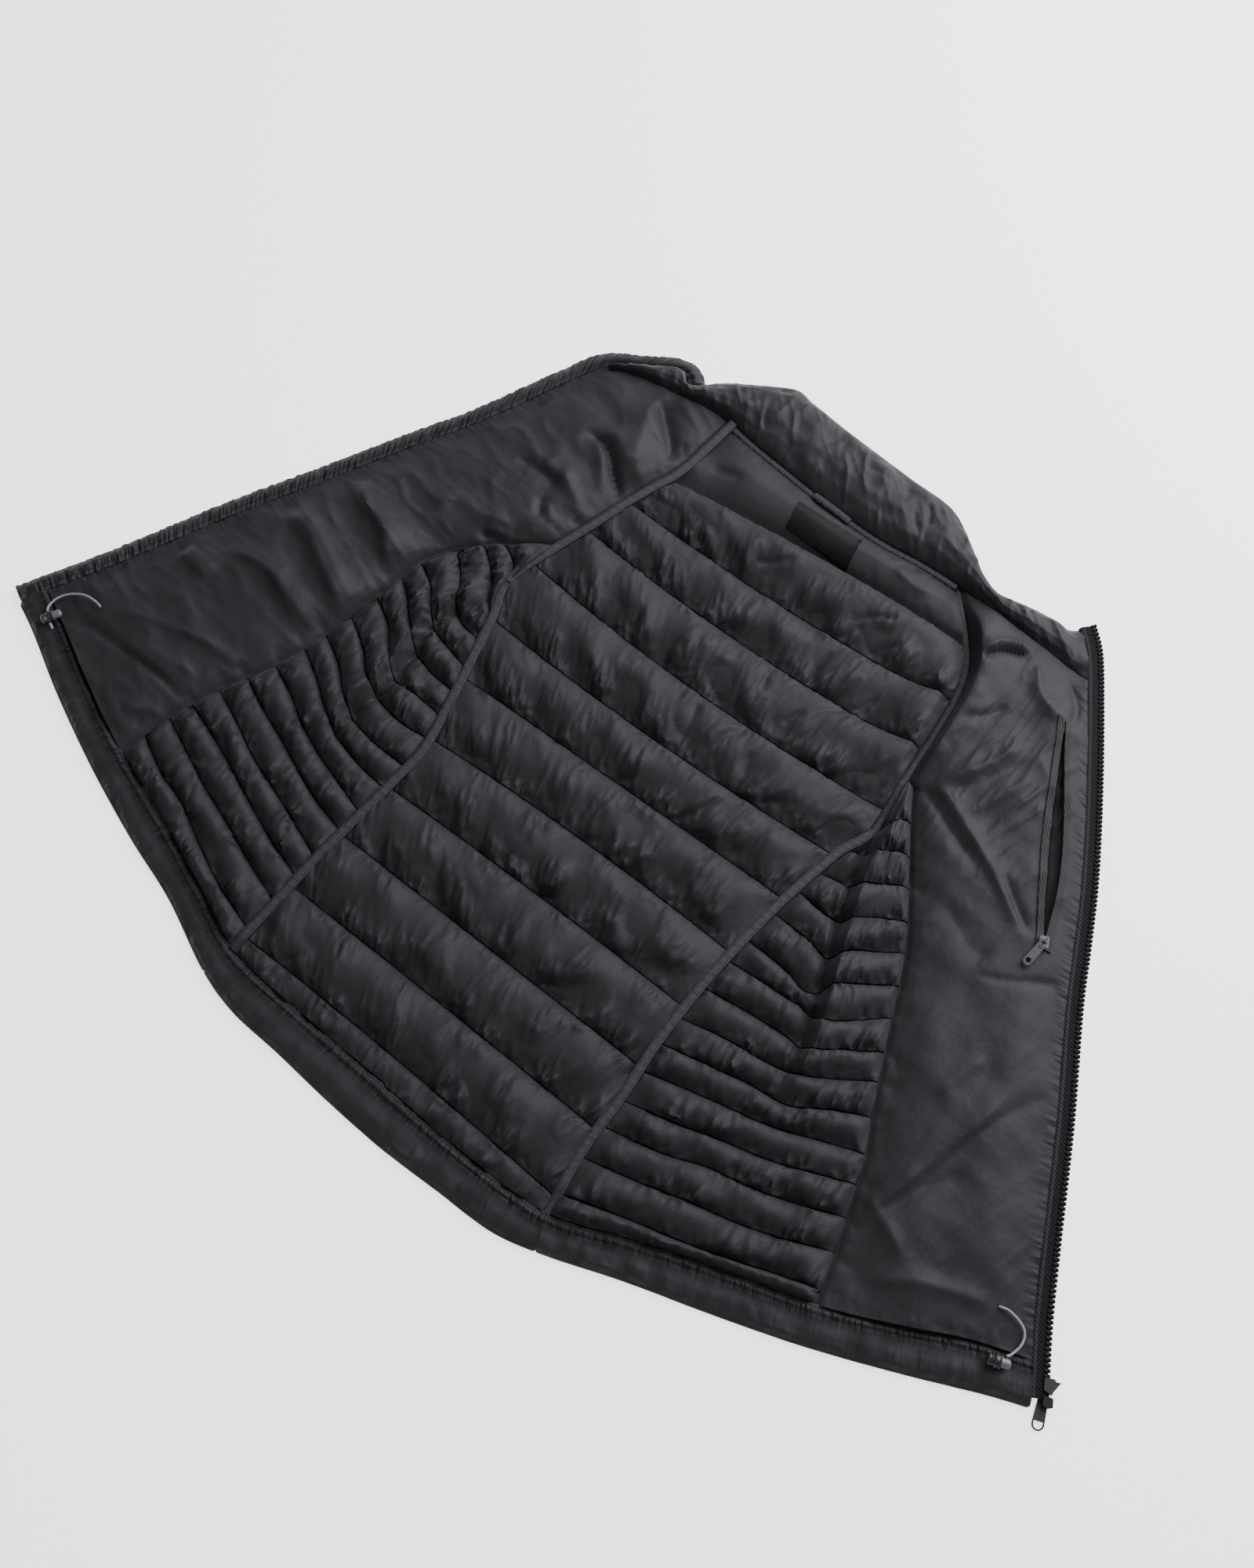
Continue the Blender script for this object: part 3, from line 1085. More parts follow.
# The lining swells over the left armhole's crease
LEFT_RIMS = ((4, 20, 13.0, 162, 448, 161, 480, 159, 505, 156, 532, 149, 558, 133, 582, 110, 604),)


def seam_nicks(side, reach, rng):
    """Short puckers of the lining where each narrow baffle's stitches meet its seam."""
    rows = []
    for line in NARROW_LINES[side]:
        start, inner = (line[:2], line[2:4]) if side < 0 else (line[-2:], line[-4:-2])
        turn = math.atan2(start[1] - inner[1], start[0] - inner[0]) + rng.normal(0.0, 0.35)
        long = reach * rng.uniform(0.6, 1.3)
        end = (start[0] + long * math.cos(turn), start[1] + long * math.sin(turn))
        rows.append((*start, *end, rng.normal(0.0, 1.5), 3.0, 4.5, -3.2 * rng.uniform(0.5, 1.2),
                     0.2))
    return rows


def share_index(path, point):
    """The number of the path's point that is nearest to a place."""
    return int(np.argmin(np.linalg.norm(path - np.array(point, dtype=float), axis=1)))


def cut_path(path, first, last, steps=160):
    """The stretch of a path between the places nearest to two points."""
    along = lengths_along(path)
    ends = [along[share_index(path, point)] / along[-1] for point in (first, last)]
    return read_path(path, np.linspace(*ends, steps))


FLAP = smooth(FLAP_EDGE)
FLAP_INNER = shifted(FLAP, -FLAP_WIDTH)
TEETH = smooth(ZIP_LINE)
FRONT_EDGE = shifted(TEETH, CHAIN_WIDTH + ZIP_TAPE_WIDTH + SLACK)
COLLAR_FOOT = shifted(NECK, 2.5)
# The lining's cloth, pressed smoother, with a little more sheen
lining_nylon = nylon("calendered_nylon_lining", "#222123", 0.52)


def front_inner(side):
    """The front's edge, along the side panel and then the closed armhole."""
    seam = read_path(LINING[side], np.linspace(0.0, 1.0, 161))
    arm = above(back_side(side, -1), ARMPIT + 2.0)
    return np.vstack([seam, read_path(arm, np.linspace(0.0, 1.0, 66))])


def lining_top(plan, swell, side, rows, folds, crumple, sizes, rng):
    """Height of a front's lining over its padding, with its folds and its wrinkles.

    sizes gives the width and length of its crumples and the way they run.
    """
    points = plan.reshape(-1, 2)
    rows += gathers(plan[0], ((1, 6.0, 15.0, 1.0, 2.4, 0.3),), rng)
    detail = creases(points, rows) + folds + crumple * pinched(points, *sizes, rng)
    detail += soft_noise(points, 55.0, rng) * 0.8 + soft_noise(points, 55.0 / 3, rng) * 0.2
    top = SEAM_HEIGHT + (FRONT_HEIGHT - SEAM_HEIGHT) * swell
    top += detail.reshape(swell.shape) * np.clip(swell * 2.5, 0.3, 1.0)
    seam = plan[:, -1:] if side < 0 else plan[:, :1]
    return top - 2.0 * hump(np.linalg.norm(plan - seam, axis=2), 3.0)


def edge_gathers(plan, away, dense_by, bands):
    """A cloth map along an edge, and the pull of the seams: places, reaches and strengths."""
    along = lengths_along(plan[:, plan.shape[1] // 2])[:, None] * dense_by + np.zeros(away.shape)
    pull = np.zeros(away.shape)
    for place, reach, strength in bands:
        pull += strength * hump(away - place, reach)
    return np.column_stack([along.ravel(), away.ravel()]), pull.ravel()


rng = np.random.default_rng(31)
inner = front_inner(-1)
outer = read_path(cut_path(FLAP_INNER, TUNNEL_ENDS[-1], NECK_CORNER),
                  np.linspace(0, 1, len(inner)))
plan = between([outer, inner], [110])
plan = fit_row(fit_row(plan, 0, TUNNEL[-1], 14), -1, COLLAR_FOOT, 20)
plan = inset(plan)
points = plan.reshape(-1, 2)
shape = plan.shape[:2]
swell = np.outer(eased(shape[0], 0.45, 0.12), end_ease(shape[1], 0.3))
rows = seam_nicks(-1, 20.0, rng) + gathers(plan[:, 0], ((-1, 5.0, 15.0, 1.4, 1.8, 0.3),), rng)
rows += gathers(plan[:, -1], ((1, 8.0, 22.0, 1.0, 3.0, 0.4),), rng)
top = lining_top(plan, swell, -1, rows, folded(points, RIGHT_FOLDS), 2.0, RIGHT_CRUMPLES, rng)
reach = np.linalg.norm(plan - plan[:, :1], axis=2)
gather = edge_gathers(plan, reach, 1.6, ((0.0, 9.0, 0.4),))
right_spots = np.dstack([plan, np.maximum(top, 3.4)])
front_right = show(cloth_body("lined_front_right", right_spots, gather=gather), lining_nylon,
                   ["front_right"])

rng = np.random.default_rng(32)
inner = front_inner(1)
outer = read_path(cut_path(FRONT_EDGE, TUNNEL_ENDS[1], ZIP_CORNER), np.linspace(0, 1, len(inner)))
inward = inner - outer
inward /= np.linalg.norm(inward, axis=1)[:, None]
centre = outer + POCKET_INSET * inward
opening = np.clip((POCKET_TOP - centre[:, 1]) / (POCKET_TOP - POCKET_BOTTOM), 0.0, 1.0)
half = (1.0 + POCKET_GAPE * np.sin(np.pi * opening ** 1.3))[:, None]
rails = [inner, centre + (half + POCKET_TAPE) * inward, centre + half * inward,
         centre + (half - 0.7) * inward, centre - (half - 0.7) * inward, centre - half * inward,
         centre - (half + POCKET_TAPE) * inward, outer]
# Columns from the inside: the lining, a tape, its edge, the gape, an edge, a tape, the lining
counts = [80, 4, 2, 6, 2, 4, 8]
plan = between(rails, counts)
plan = fit_row(fit_row(plan, 0, TUNNEL[1], 14), -1, COLLAR_FOOT, 20)
plan = inset(plan)
points = plan.reshape(-1, 2)
shape = plan.shape[:2]
mouth = (centre[:, 1] < POCKET_TOP) & (centre[:, 1] > POCKET_BOTTOM)
reach = np.linalg.norm(plan - plan[:, :1], axis=2)
width = reach[:, -1:]
ends = np.sin(np.clip(np.minimum(reach, width - reach) / (0.35 * width), 0, 1) * math.pi / 2)
swell = eased(shape[0], 0.45, 0.12)[:, None] * ends
rows = seam_nicks(1, 14.0, rng) + gathers(plan[:, -1], ((1, 7.0, 11.0, 1.2, 2.2, 0.3),), rng)
rows += gathers(plan[:, 0], ((-1, 8.0, 24.0, 1.1, 3.0, 0.4),), rng)
by_pocket = hump(points[:, 0] - 215.0, 75.0) * hump(points[:, 1] - 490.0, 85.0)
top = lining_top(plan, swell, 1, rows, 1.25 * folded(points, LEFT_FOLDS), 0.6 + 2.6 * by_pocket,
                 LEFT_CRUMPLES, rng)
top += folded(points, LEFT_RIMS).reshape(shape)
first = counts[0]
lip = slice(first + 6, first + 13)
top[mouth, lip] -= POCKET_DEPTH
left_spots = np.dstack([plan, np.maximum(top, 3.4)])
gather = edge_gathers(plan, width - reach, 1.6, ((0.0, 7.0, 0.4),))
front_left = show(cloth_body("lined_front_left", left_spots, gather=gather), lining_nylon,
                  ["front_left"])

# Inner pocket: two narrow tapes beside a fine zip, gaping a little over the dark pocket bag.
# The tapes are woven polyester, stitched down; the bag under them is the lining's nylon.

picked = np.flatnonzero(mouth)
span = slice(picked[0] - 6, picked[-1] + 6)
# Woven polyester tape: dull and dark, with a slanting rib. The real rib is about 0.5 mm wide;
# it is drawn 2 mm wide so that it just shows.
tape_weave = patterned("woven_polyester_tape", ("#1a1a1c",), 210.0, (0.5, 0.0004), "DIAGONAL",
                       Roughness=0.65, Specular_IOR_Level=0.2)
pocket_edges = []
for name, columns, rim in (("pocket_tape_inner", slice(first, first + 5), -1),
                           ("pocket_tape_outer", slice(first + 14, first + 19), 0)):
    spots = left_spots[span, columns].copy()
    spots[:, :, 2] += 0.35
    show(cloth_layer("zip_" + name, spots, 1.0), tape_weave, [name])
    pocket_edges.append(spots[:, rim] + (0.0, 0.0, 1.0))
bag_spots = left_spots[picked[0]:picked[-1] + 1, first + 7:first + 12].copy()
bag_spots[:, :, 2] += 0.3
# Matt nylon: almost black, as it lies down in the pocket's shade
pocket_nylon = nylon("matt_pocket_nylon", "#040405", 0.75)
bag = show(cloth_layer("inner_pocket_bag", bag_spots, 0.8), pocket_nylon, ["pocket_bag"])

# Hem: a tunnel turned up and sewn with two rows of topstitching, gathered by its cord.
# It is made in three lengths, joined at the side seams, and puckers along both edges.

HEM_EDGE = ((0, 20, 20), (30, 22, 19), (74, 26, 20), (117, 29, 21), (154, 39, 30),
            (208, 63, 49), (260, 80, 65), (320, 103, 85), (380, 130, 109), (430, 156, 131))
HEM_CORNERS = {-1: (-455.5, 167.6), 1: (458.9, 142.2)}
HEM_SPLIT = {-1: (-152, 38.5), 1: (149, 29)}
TUNNEL_SPLIT = {-1: (-147, 61), 1: (141, 51)}
HEM_HEIGHT = 8.0
# Shares of its height from the outer edge to the tunnel's stitching
HEM_PROFILE = ((0.0, 0.12, 0.35, 0.7, 0.92, 1.0), (0.42, 0.8, 1.0, 1.0, 0.8, 0.62))
HEM_COLUMNS = 18
HEM_ROW = 1.4
HEM_GATHERS = ((-1, (4.0, 10.0, 1.0, 1.5, 0.35)), (0, (9.0, 22.0, 1.9, 3.4, 0.35)))
TOPSTITCHES = (1.6, 6.6)
HEM = {side: half_path(HEM_EDGE, side, HEM_CORNERS[side]) for side in (-1, 1)}
whole_hem = np.vstack([HEM[-1][::-1], HEM[1]])
hem_threads = []
hem_runs = [(SIDE[side], HEM[side], HEM_SPLIT[side], HEM[side][-1], TUNNEL[side],
             TUNNEL_SPLIT[side], TUNNEL[side][-1]) for side in (-1, 1)]
hem_runs.append(("back", whole_hem, HEM_SPLIT[-1], HEM_SPLIT[1], TUNNEL_WHOLE,
                 TUNNEL_SPLIT[-1], TUNNEL_SPLIT[1]))
for number, (name, edge, start, stop, seam, seam_start, seam_stop) in enumerate(hem_runs):
    hem = cut_path(edge, start, stop, 400)
    tunnel = cut_path(seam, seam_start, seam_stop, 400)
    rng = np.random.default_rng(41 + number)
    count = round(lengths_along(hem)[-1] / HEM_ROW)
    rows_up = np.linspace(0.0, 1.0, count + 1)
    low, high = read_path(hem, rows_up), read_path(tunnel, rows_up)
    plan = inset(between([low, high], [HEM_COLUMNS]))
    points = plan.reshape(-1, 2)
    shape = plan.shape[:2]
    place = np.linspace(0.0, 1.0, HEM_COLUMNS + 1)
    profile = np.interp(place, *HEM_PROFILE)
    away = np.linalg.norm(plan - plan[:, -1:], axis=2)
    top = HEM_HEIGHT * profile[None, :] + np.zeros(shape)
    for distance in TOPSTITCHES:
        top -= hump(away - distance, 1.1)
    rows = []
    for column, sizes in HEM_GATHERS:
        rows += gathers(plan[:, column], ((1, *sizes), (-1, *sizes)), rng)
    top += creases(points, rows).reshape(shape)
    top += 0.5 * soft_noise(points, 22.0, rng).reshape(shape)
    spots = np.dstack([plan, np.maximum(top, 2.2)])
    for distance in TOPSTITCHES:
        hem_threads.append(spots[np.arange(count + 1), np.argmin(np.abs(away - distance), axis=1)])
    gather = edge_gathers(plan, away, 2.4, ((4.0, 4.0, 1.2), (24.0, 12.0, 0.2)))
    band = show(cloth_body("gathered_hem_" + name, spots, (0.0, 0.0, 0.0, 1.3), gather),
                quilted_nylon, ["hem_band_" + name])

# Bindings: folded nylon tape sewn over the seams between the back and the sides.
# One row of stitches runs near each edge, and the tape bends and puckers a little over them.

# Folded nylon tape: dull, a little paler than the panels, with fine ribs across it. The ribs
# are about 0.5 mm apart and are drawn 1.4 mm apart so that they just show.
binding_tape, tree, shader = start_material("folded_nylon_binding", Roughness=0.65,
                                            Specular_IOR_Level=0.15)
spot = add_node(tree, "ShaderNodeUVMap", uv_map="cloth_map")
ribs = add_node(tree, "ShaderNodeTexWave", {"Vector": spot.outputs["UV"], "Scale": 230.0},
                bands_direction="Y")
cloud = add_node(tree, "ShaderNodeTexNoise", {"Vector": spot.outputs["UV"], "Scale": 60.0})
tone = add_node(tree, "ShaderNodeValToRGB", {"Fac": cloud.outputs["Fac"]})
tone.color_ramp.elements[0].color = (*linear("#29292c"), 1.0)
tone.color_ramp.elements[1].color = (*linear("#313135"), 1.0)
bump = add_node(tree, "ShaderNodeBump", {"Height": ribs.outputs["Fac"], "Strength": 0.35,
                                         "Distance": 0.0003})
tree.links.new(tone.outputs["Color"], shader.inputs["Base Color"])
tree.links.new(bump.outputs["Normal"], shader.inputs["Normal"])
STRIP_GAP = -0.35
SEAM_TOP = 402.0
# From where to where up the vest, and the heights of middle and edges at the right and the left
BINDINGS = (("seam_binding_", 0.0, SEAM_TOP, (9.6, 9.6), (9.0, 9.0)),
            ("armhole_binding_", SEAM_TOP, 1000.0, (10.6, 3.4), (10.0, 2.4)))
strip_threads = []


def strip_grid(edges, step, columns, crown, rim, pucker, rng, foot=None, head=None):
    """A narrow strip between two edges, with a rounded back and fine puckers."""
    count = max(8, round(lengths_along(edges[0])[-1] / step))
    shares = np.linspace(0.0, 1.0, count + 1)
    plan = between([read_path(edge, shares) for edge in edges], [columns])
    for row, path in ((0, foot), (-1, head)):
        if path is not None:
            plan = fit_row(plan, row, path, 4)
    plan = inset(plan, STRIP_GAP)
    place = np.linspace(0.0, 1.0, columns + 1)
    round_back = np.sin(np.pi * place) ** 0.4
    top = rim + (crown - rim) * round_back[None, :] + np.zeros((count + 1, 1))
    along = shares[:, None] * lengths_along(edges[0])[-1]
    ripple = np.sin(along * 2 * math.pi / rng.uniform(5.0, 6.0) + 2 * place[None, :])
    ripple += 0.8 * np.sin(along * 2 * math.pi / 8.7 - 1.5 * place[None, :] + 1.0)
    top += pucker * ripple * (0.35 + 0.65 * round_back[None, :])
    return np.dstack([plan, top])


def strip_map(mesh, spots):
    """Gives a strip its own map, for its ribs: how far across it and how far along it.

    A thin layer is measured along its own waves, and a closed body along its plan.
    """
    layer = len(mesh.vertices) == 2 * spots.shape[0] * spots.shape[1]
    along = lengths_along(spots[:, 0] if layer else spots[:, 0, :2])
    across = np.linalg.norm(spots[:, :, :2] - spots[:, :1, :2], axis=2)
    places = np.dstack([across, along[:, None] + np.zeros(across.shape)]).reshape(-1, 2)
    if layer:
        places = np.vstack([places, places])
    else:
        rim, _ = grid_faces(*spots.shape[:2])
        places = np.vstack([places] + [places[rim]] * 4)
    write_map(mesh, "cloth_map", places)
    return mesh


for name, low, high, crowns, rims in BINDINGS:
    for side, crown, rim in zip((-1, 1), crowns, rims):
        rng = np.random.default_rng(51 + side)
        middle = BACK_EDGE[side]
        part = (middle[:, 1] >= low) & (middle[:, 1] <= high)
        edges = [back_side(side, way)[part] for way in (side, -side)][::-1]
        ends = {"foot": TUNNEL[side]} if low == 0.0 else {"head": COLLAR_FOOT}
        spots = strip_grid(edges, 0.9, 8, crown, rim, 0.1, rng, **ends)
        if low == 0.0:
            spots[:, :, 2] *= 0.5 + 0.5 * np.clip(np.arange(len(spots)) / 16.0, 0.0, 1.0)[:, None]
        show(strip_map(cloth_body("taped_" + name + SIDE[side], spots), spots), binding_tape,
             [name + SIDE[side]])
        strip_threads += [spots[:, 1], spots[:, -2]]

# Storm flap: a narrow double fold of nylon along the right front's edge, behind the zip.
# Its one row of stitching pulls it into even puckers.

FLAP_STEPS = 590
FLAP_COLUMNS = 12
rng = np.random.default_rng(61)
shares = np.linspace(0.0, 1.0, FLAP_STEPS + 1)
place = np.linspace(0.0, 1.0, FLAP_COLUMNS + 1)
edges = [read_path(edge, shares) for edge in (FLAP, FLAP_INNER)]
plan = inset(between(edges, [FLAP_COLUMNS]), STRIP_GAP)
along = shares * lengths_along(FLAP)[-1]
profile = np.sin(np.pi * np.clip(place, 0.04, 0.96)) ** 0.5
top = 4.6 + 3.6 * profile[None, :] + np.zeros((FLAP_STEPS + 1, 1))
top -= 1.3 * hump(place[None, :] - 0.78, 0.1)
reach = FLAP_WIDTH * place[None, :] + np.zeros(top.shape)
cloth = np.column_stack([(along[:, None] + 3.0 * place[None, :]).ravel(), reach.ravel()])
for wide, long, high in ((1.8, 6.0, 0.8), (3.6, 9.0, 0.5)):
    top += high * value_noise(cloth, wide, long, 0.0, rng).reshape(top.shape)
flap_spots = np.dstack([plan, top])
gather = edge_gathers(plan, reach, 2.6, ((8.0, 8.0, 0.8),))
flap = show(cloth_body("puckered_storm_flap", flap_spots, (0.0, 0.0, 0.0, 0.9), gather),
            quilted_nylon, ["storm_flap"])
strip_threads.append(flap_spots[:, 9])

# Collar: a tall padded stand, lined with the same nylon, rolled open and lying on the floor.
# It folds over itself where it turns down at the shoulders.

COLLAR_HEIGHT = 18.0
COLLAR_EDGE = ((-170.3, 624.6), (-166, 624.6), (-157.3, 633.4), (-148, 643.5), (-134, 653),
               (-100, 674.5), (-80, 672.5), (-40, 667.5), (21, 662), (60, 658.5), (88, 641),
               (104, 627), (119.5, 618.5), (130.5, 617.5), (143, 620), (161, 623.5),
               (175, 625), (186, 625), (194, 630.5))
COLLAR_FOLDS = (
    (1.6, 1.8, -1.8, -18, 646, 2, 645, 19, 645), (2, 2.4, -2.4, 44, 647, 51, 639, 55, 628),
    (2, 2.4, -2.2, 40, 633, 45, 627, 51, 622), (3, 3, -1.6, 52, 615, 58, 610, 65, 603),
    (3, 3, -1.6, 63, 618, 69, 612, 78, 605), (2, 2.6, 2.6, 141, 621, 151, 614, 164, 605),
    (2, 2.6, 2.6, 168, 624, 187, 610, 206, 596), (2.4, 2.4, -2.4, 166, 610, 177, 600, 187, 593),
    (2.4, 3, 2.2, 187, 622, 195, 610, 203, 603), (1.8, 1.8, -2.0, -70, 622, -63, 630, -59, 640),
    (1.8, 2, -1.6, -53, 634, -46, 644, -41, 657), (2, 3, 1.2, -119, 628, -113, 642, -109, 655),
    (2, 3, 1.4, -94, 634, -93, 647, -92, 661), (3, 3, 2.6, -198, 622, -183, 611, -157, 627),
    (6, 6, -1.0, 2, 619, 21, 621, 37, 621))
# Shares of its height from the rolled edge to the neck seam
COLLAR_PROFILE = ((0, 0.06, 0.2, 0.4, 0.6, 0.8, 0.94, 1.0),
                  (0.34, 0.62, 0.85, 0.97, 1.0, 0.86, 0.58, 0.4))
COLLAR_COLUMNS = 34
# Its wrinkles from large to small: width, length, the way they run and height
COLLAR_CRUMPLES = ((13.0, 30.0, 0.9, 1.5), (7.0, 19.0, 2.3, 1.0), (4.0, 14.0, 0.2, 0.3))
COLLAR_SEAM = shifted(NECK, 2.5 + SLACK)
rng = np.random.default_rng(71)
behind_flap = cut_path(FLAP_INNER, NECK_CORNER, FLAP_INNER[-1], 60)
rim_path = np.vstack([behind_flap[:-8], smooth(COLLAR_EDGE)])
rows_up = np.concatenate([np.linspace(0.0, 0.22, 90)[:-1], np.linspace(0.22, 1.0, 270)])
lower = read_path(cut_path(COLLAR_SEAM, NECK_CORNER, ZIP_CORNER), rows_up)
upper = read_path(rim_path, rows_up)
plan = inset(between([upper, lower], [COLLAR_COLUMNS]))
points = plan.reshape(-1, 2)
shape = plan.shape[:2]
place = np.linspace(0.0, 1.0, COLLAR_COLUMNS + 1)
profile = np.interp(place, *COLLAR_PROFILE)
reach = np.clip(np.minimum(rows_up, 1.0 - rows_up) / 0.1, 0.0, 1.0)
top = COLLAR_HEIGHT * np.outer(0.55 + 0.45 * np.sin(reach * math.pi / 2), profile)
rows = gathers(plan[:, -1], ((1, 6.0, 18.0, 1.2, 2.4, 0.4),), rng)
rows += gathers(plan[:, 0], ((-1, 9.0, 16.0, 0.9, 2.6, 0.4),), rng)
inside = np.clip(np.minimum(place, 1 - place) / 0.12, 0.15, 1.0)[None, :]
detail = creases(points, rows) + 0.6 * folded(points, COLLAR_FOLDS)
for wide, long, turn, height in COLLAR_CRUMPLES:
    detail += height * value_noise(points, wide, long, turn, rng)
detail += 2.2 * pinched(points, 12.0, 36.0, 0.5, rng)
top += detail.reshape(shape) * inside
collar_spots = np.dstack([plan, np.maximum(top, 3.0)])
collar = show(cloth_body("rolled_collar", collar_spots, (0.0, 0.0, 0.0, 1.2)), lining_nylon,
              ["collar"])

# Neck tape and hanger loop: ribbed woven tape over the neck seam, stitched near both edges.
# The loop is a short length of the same tape, caught down at its two ends.

NECK_TAPE_SPAN = (-118, 101)
LOOP_MIDDLE = -14
LOOP_HALF = 18.0
# Ribbed polyester tape: dull dark grey, its ribs strong enough to see. They are about 1 mm
# apart and are drawn 2.2 mm apart so that they show.
neck_ribs = patterned("ribbed_neck_tape", ("#2b2c30",), 140.0, (0.9, 0.0005), "Y",
                      Roughness=0.7, Specular_IOR_Level=0.2)
rng = np.random.default_rng(81)
first, last = (int(np.argmin(np.abs(NECK[:, 0] - across))) for across in NECK_TAPE_SPAN)
edges = [path[first:last] for path in (COLLAR_FOOT, YOKE_HEAD)]
tape_spots = strip_grid(edges, 0.8, 8, 7.5, 6.5, 0.12, rng)
show(strip_map(cloth_body("ribbed_neck_tape", tape_spots), tape_spots), neck_ribs,
     ["neck_tape"])
strip_threads += [tape_spots[:, 1], tape_spots[:, -2]]
near = np.abs(tape_spots[:, 4, 0] - LOOP_MIDDLE) < LOOP_HALF
loop_spots = tape_spots[near].copy()
arch = np.sin(np.linspace(0.0, math.pi, len(loop_spots))) ** 0.5
loop_spots[:, :, 2] += 0.4 + 1.4 * arch[:, None]
show(strip_map(cloth_layer("hanger_loop_tape", loop_spots, 1.4), loop_spots), neck_ribs,
     ["hanger_loop"])

# Front zip: moulded resin teeth on a woven tape, on the left front; the slider waits at its foot.
# Each tooth is a small bead on a narrow neck, moulded round the tape's cord.

CHAIN_FOOT = (459.6, 163.9)
TAPE_FOOT = (466.4, 151.8)
TOOTH_PITCH = 3.34
TEETH_LEVEL = 5.7
# How far the zip tape's hidden columns dip under the edge of the lining
TAPE_DIP = (2.6, 1.0) + (0.0,) * 8
CHAIN_INNER = shifted(TEETH, CHAIN_WIDTH)
TAPE_INNER = shifted(TEETH, CHAIN_WIDTH + ZIP_TAPE_WIDTH)
# Woven zip tape: matt black, a little paler at the lining's edge, with a slanting twill. The
# twill is about 0.5 mm wide and is drawn 2 mm wide so that it just shows.
zip_tape, tree, shader = start_material("woven_zip_tape", Roughness=0.8, Specular_IOR_Level=0.12)
spot = add_node(tree, "ShaderNodeUVMap", uv_map="cloth_map")
twill = add_node(tree, "ShaderNodeTexWave", {"Vector": spot.outputs["UV"], "Scale": 220.0},
                 bands_direction="DIAGONAL")
across = add_node(tree, "ShaderNodeSeparateXYZ", {"Vector": spot.outputs["UV"]})
stripe = add_node(tree, "ShaderNodeValToRGB", {"Fac": across.outputs["X"]})
stripe.color_ramp.interpolation = "CONSTANT"
stripe.color_ramp.elements[0].color = (*linear("#25272b"), 1.0)
stripe.color_ramp.elements[1].position = 0.0021
stripe.color_ramp.elements[1].color = (*linear("#111114"), 1.0)
tree.links.new(stripe.outputs["Color"], shader.inputs["Base Color"])
bump = add_node(tree, "ShaderNodeBump", {"Height": twill.outputs["Fac"], "Strength": 0.6,
                                         "Distance": 0.0004})
tree.links.new(bump.outputs["Normal"], shader.inputs["Normal"])

foot = share_index(TEETH, TAPE_FOOT)
tape_edge = cut_path(TAPE_INNER, TAPE_INNER[foot], TAPE_INNER[-1])
tape_root = cut_path(CHAIN_INNER, CHAIN_INNER[foot], CHAIN_INNER[-1])
shares = np.linspace(0.0, 1.0, 420)
edges = [shifted(tape_edge, 1.6), tape_edge, shifted(tape_root, -2.7)]
plan = inset(between([read_path(edge, shares) for edge in edges], [2, 7]))
ripple = 0.12 * np.sin(shares * 2 * math.pi * 96)[:, None] * np.linspace(1, 0.3, 10)[None, :]
ripple -= np.array(TAPE_DIP)
spots = np.dstack([plan, 5.1 + ripple])
show(strip_map(cloth_layer("woven_zip_tape", spots, 1.2), spots), zip_tape, ["zip_tape"])


def evenly_along(name, paths, values, shape, material):
    """Copies of one small shape, evenly spaced along paths, made by Geometry Nodes.

    values names the tree's inputs, in metres; shape(tree, inputs) adds its mesh nodes.
    """
    verts = []
    edges = []
    for path in paths:
        start = len(verts)
        verts += [tuple(point) for point in laid(path)]
        edges += [(k, k + 1) for k in range(start, len(verts) - 1)]
    guide = bpy.data.meshes.new(name + "_guide")
    guide.from_pydata(verts, edges, [])
    holder = bpy.data.objects.new(name + "_guide", guide)
    bpy.context.scene.collection.objects.link(holder)
    tree = bpy.data.node_groups.new(name, "GeometryNodeTree")
    tree.interface.new_socket("Guide", in_out="INPUT", socket_type="NodeSocketGeometry")
    sockets = {key: tree.interface.new_socket(key, in_out="INPUT", socket_type="NodeSocketFloat")
               for key in values}
    tree.interface.new_socket("Pieces", in_out="OUTPUT", socket_type="NodeSocketGeometry")
    inputs = add_node(tree, "NodeGroupInput").outputs
    line = add_node(tree, "GeometryNodeMeshToCurve", {"Mesh": inputs["Guide"]})
    dots = add_node(tree, "GeometryNodeResampleCurve", {"Curve": line.outputs["Curve"],
                                                        "Length": inputs["Pitch"]},
                    mode="LENGTH")
    ahead = add_node(tree, "GeometryNodeInputTangent")
    turn = add_node(tree, "FunctionNodeAlignRotationToVector",
                    {"Vector": ahead.outputs["Tangent"]}, axis="X", pivot_axis="Z")
    copies = add_node(tree, "GeometryNodeInstanceOnPoints",
                      {"Points": dots.outputs["Curve"], "Instance": shape(tree, inputs),
                       "Rotation": turn.outputs["Rotation"]})
    solid = add_node(tree, "GeometryNodeRealizeInstances", {"Geometry": copies.outputs[0]})
    painted = add_node(tree, "GeometryNodeSetMaterial", {"Geometry": solid.outputs[0],
                                                         "Material": material})
    add_node(tree, "NodeGroupOutput", {"Pieces": painted.outputs[0]})
    step = holder.modifiers.new(name, "NODES")
    step.node_group = tree
    for key, value in values.items():
        step[sockets[key].identifier] = value
    graph = bpy.context.evaluated_depsgraph_get()
    mesh = bpy.data.meshes.new_from_object(holder.evaluated_get(graph))
    mesh.name = name
    holder.modifiers.remove(step)
    bpy.data.objects.remove(holder, do_unlink=True)
    mesh.shade_smooth()
    mesh.set_sharp_from_angle(angle=math.radians(50))
    return mesh


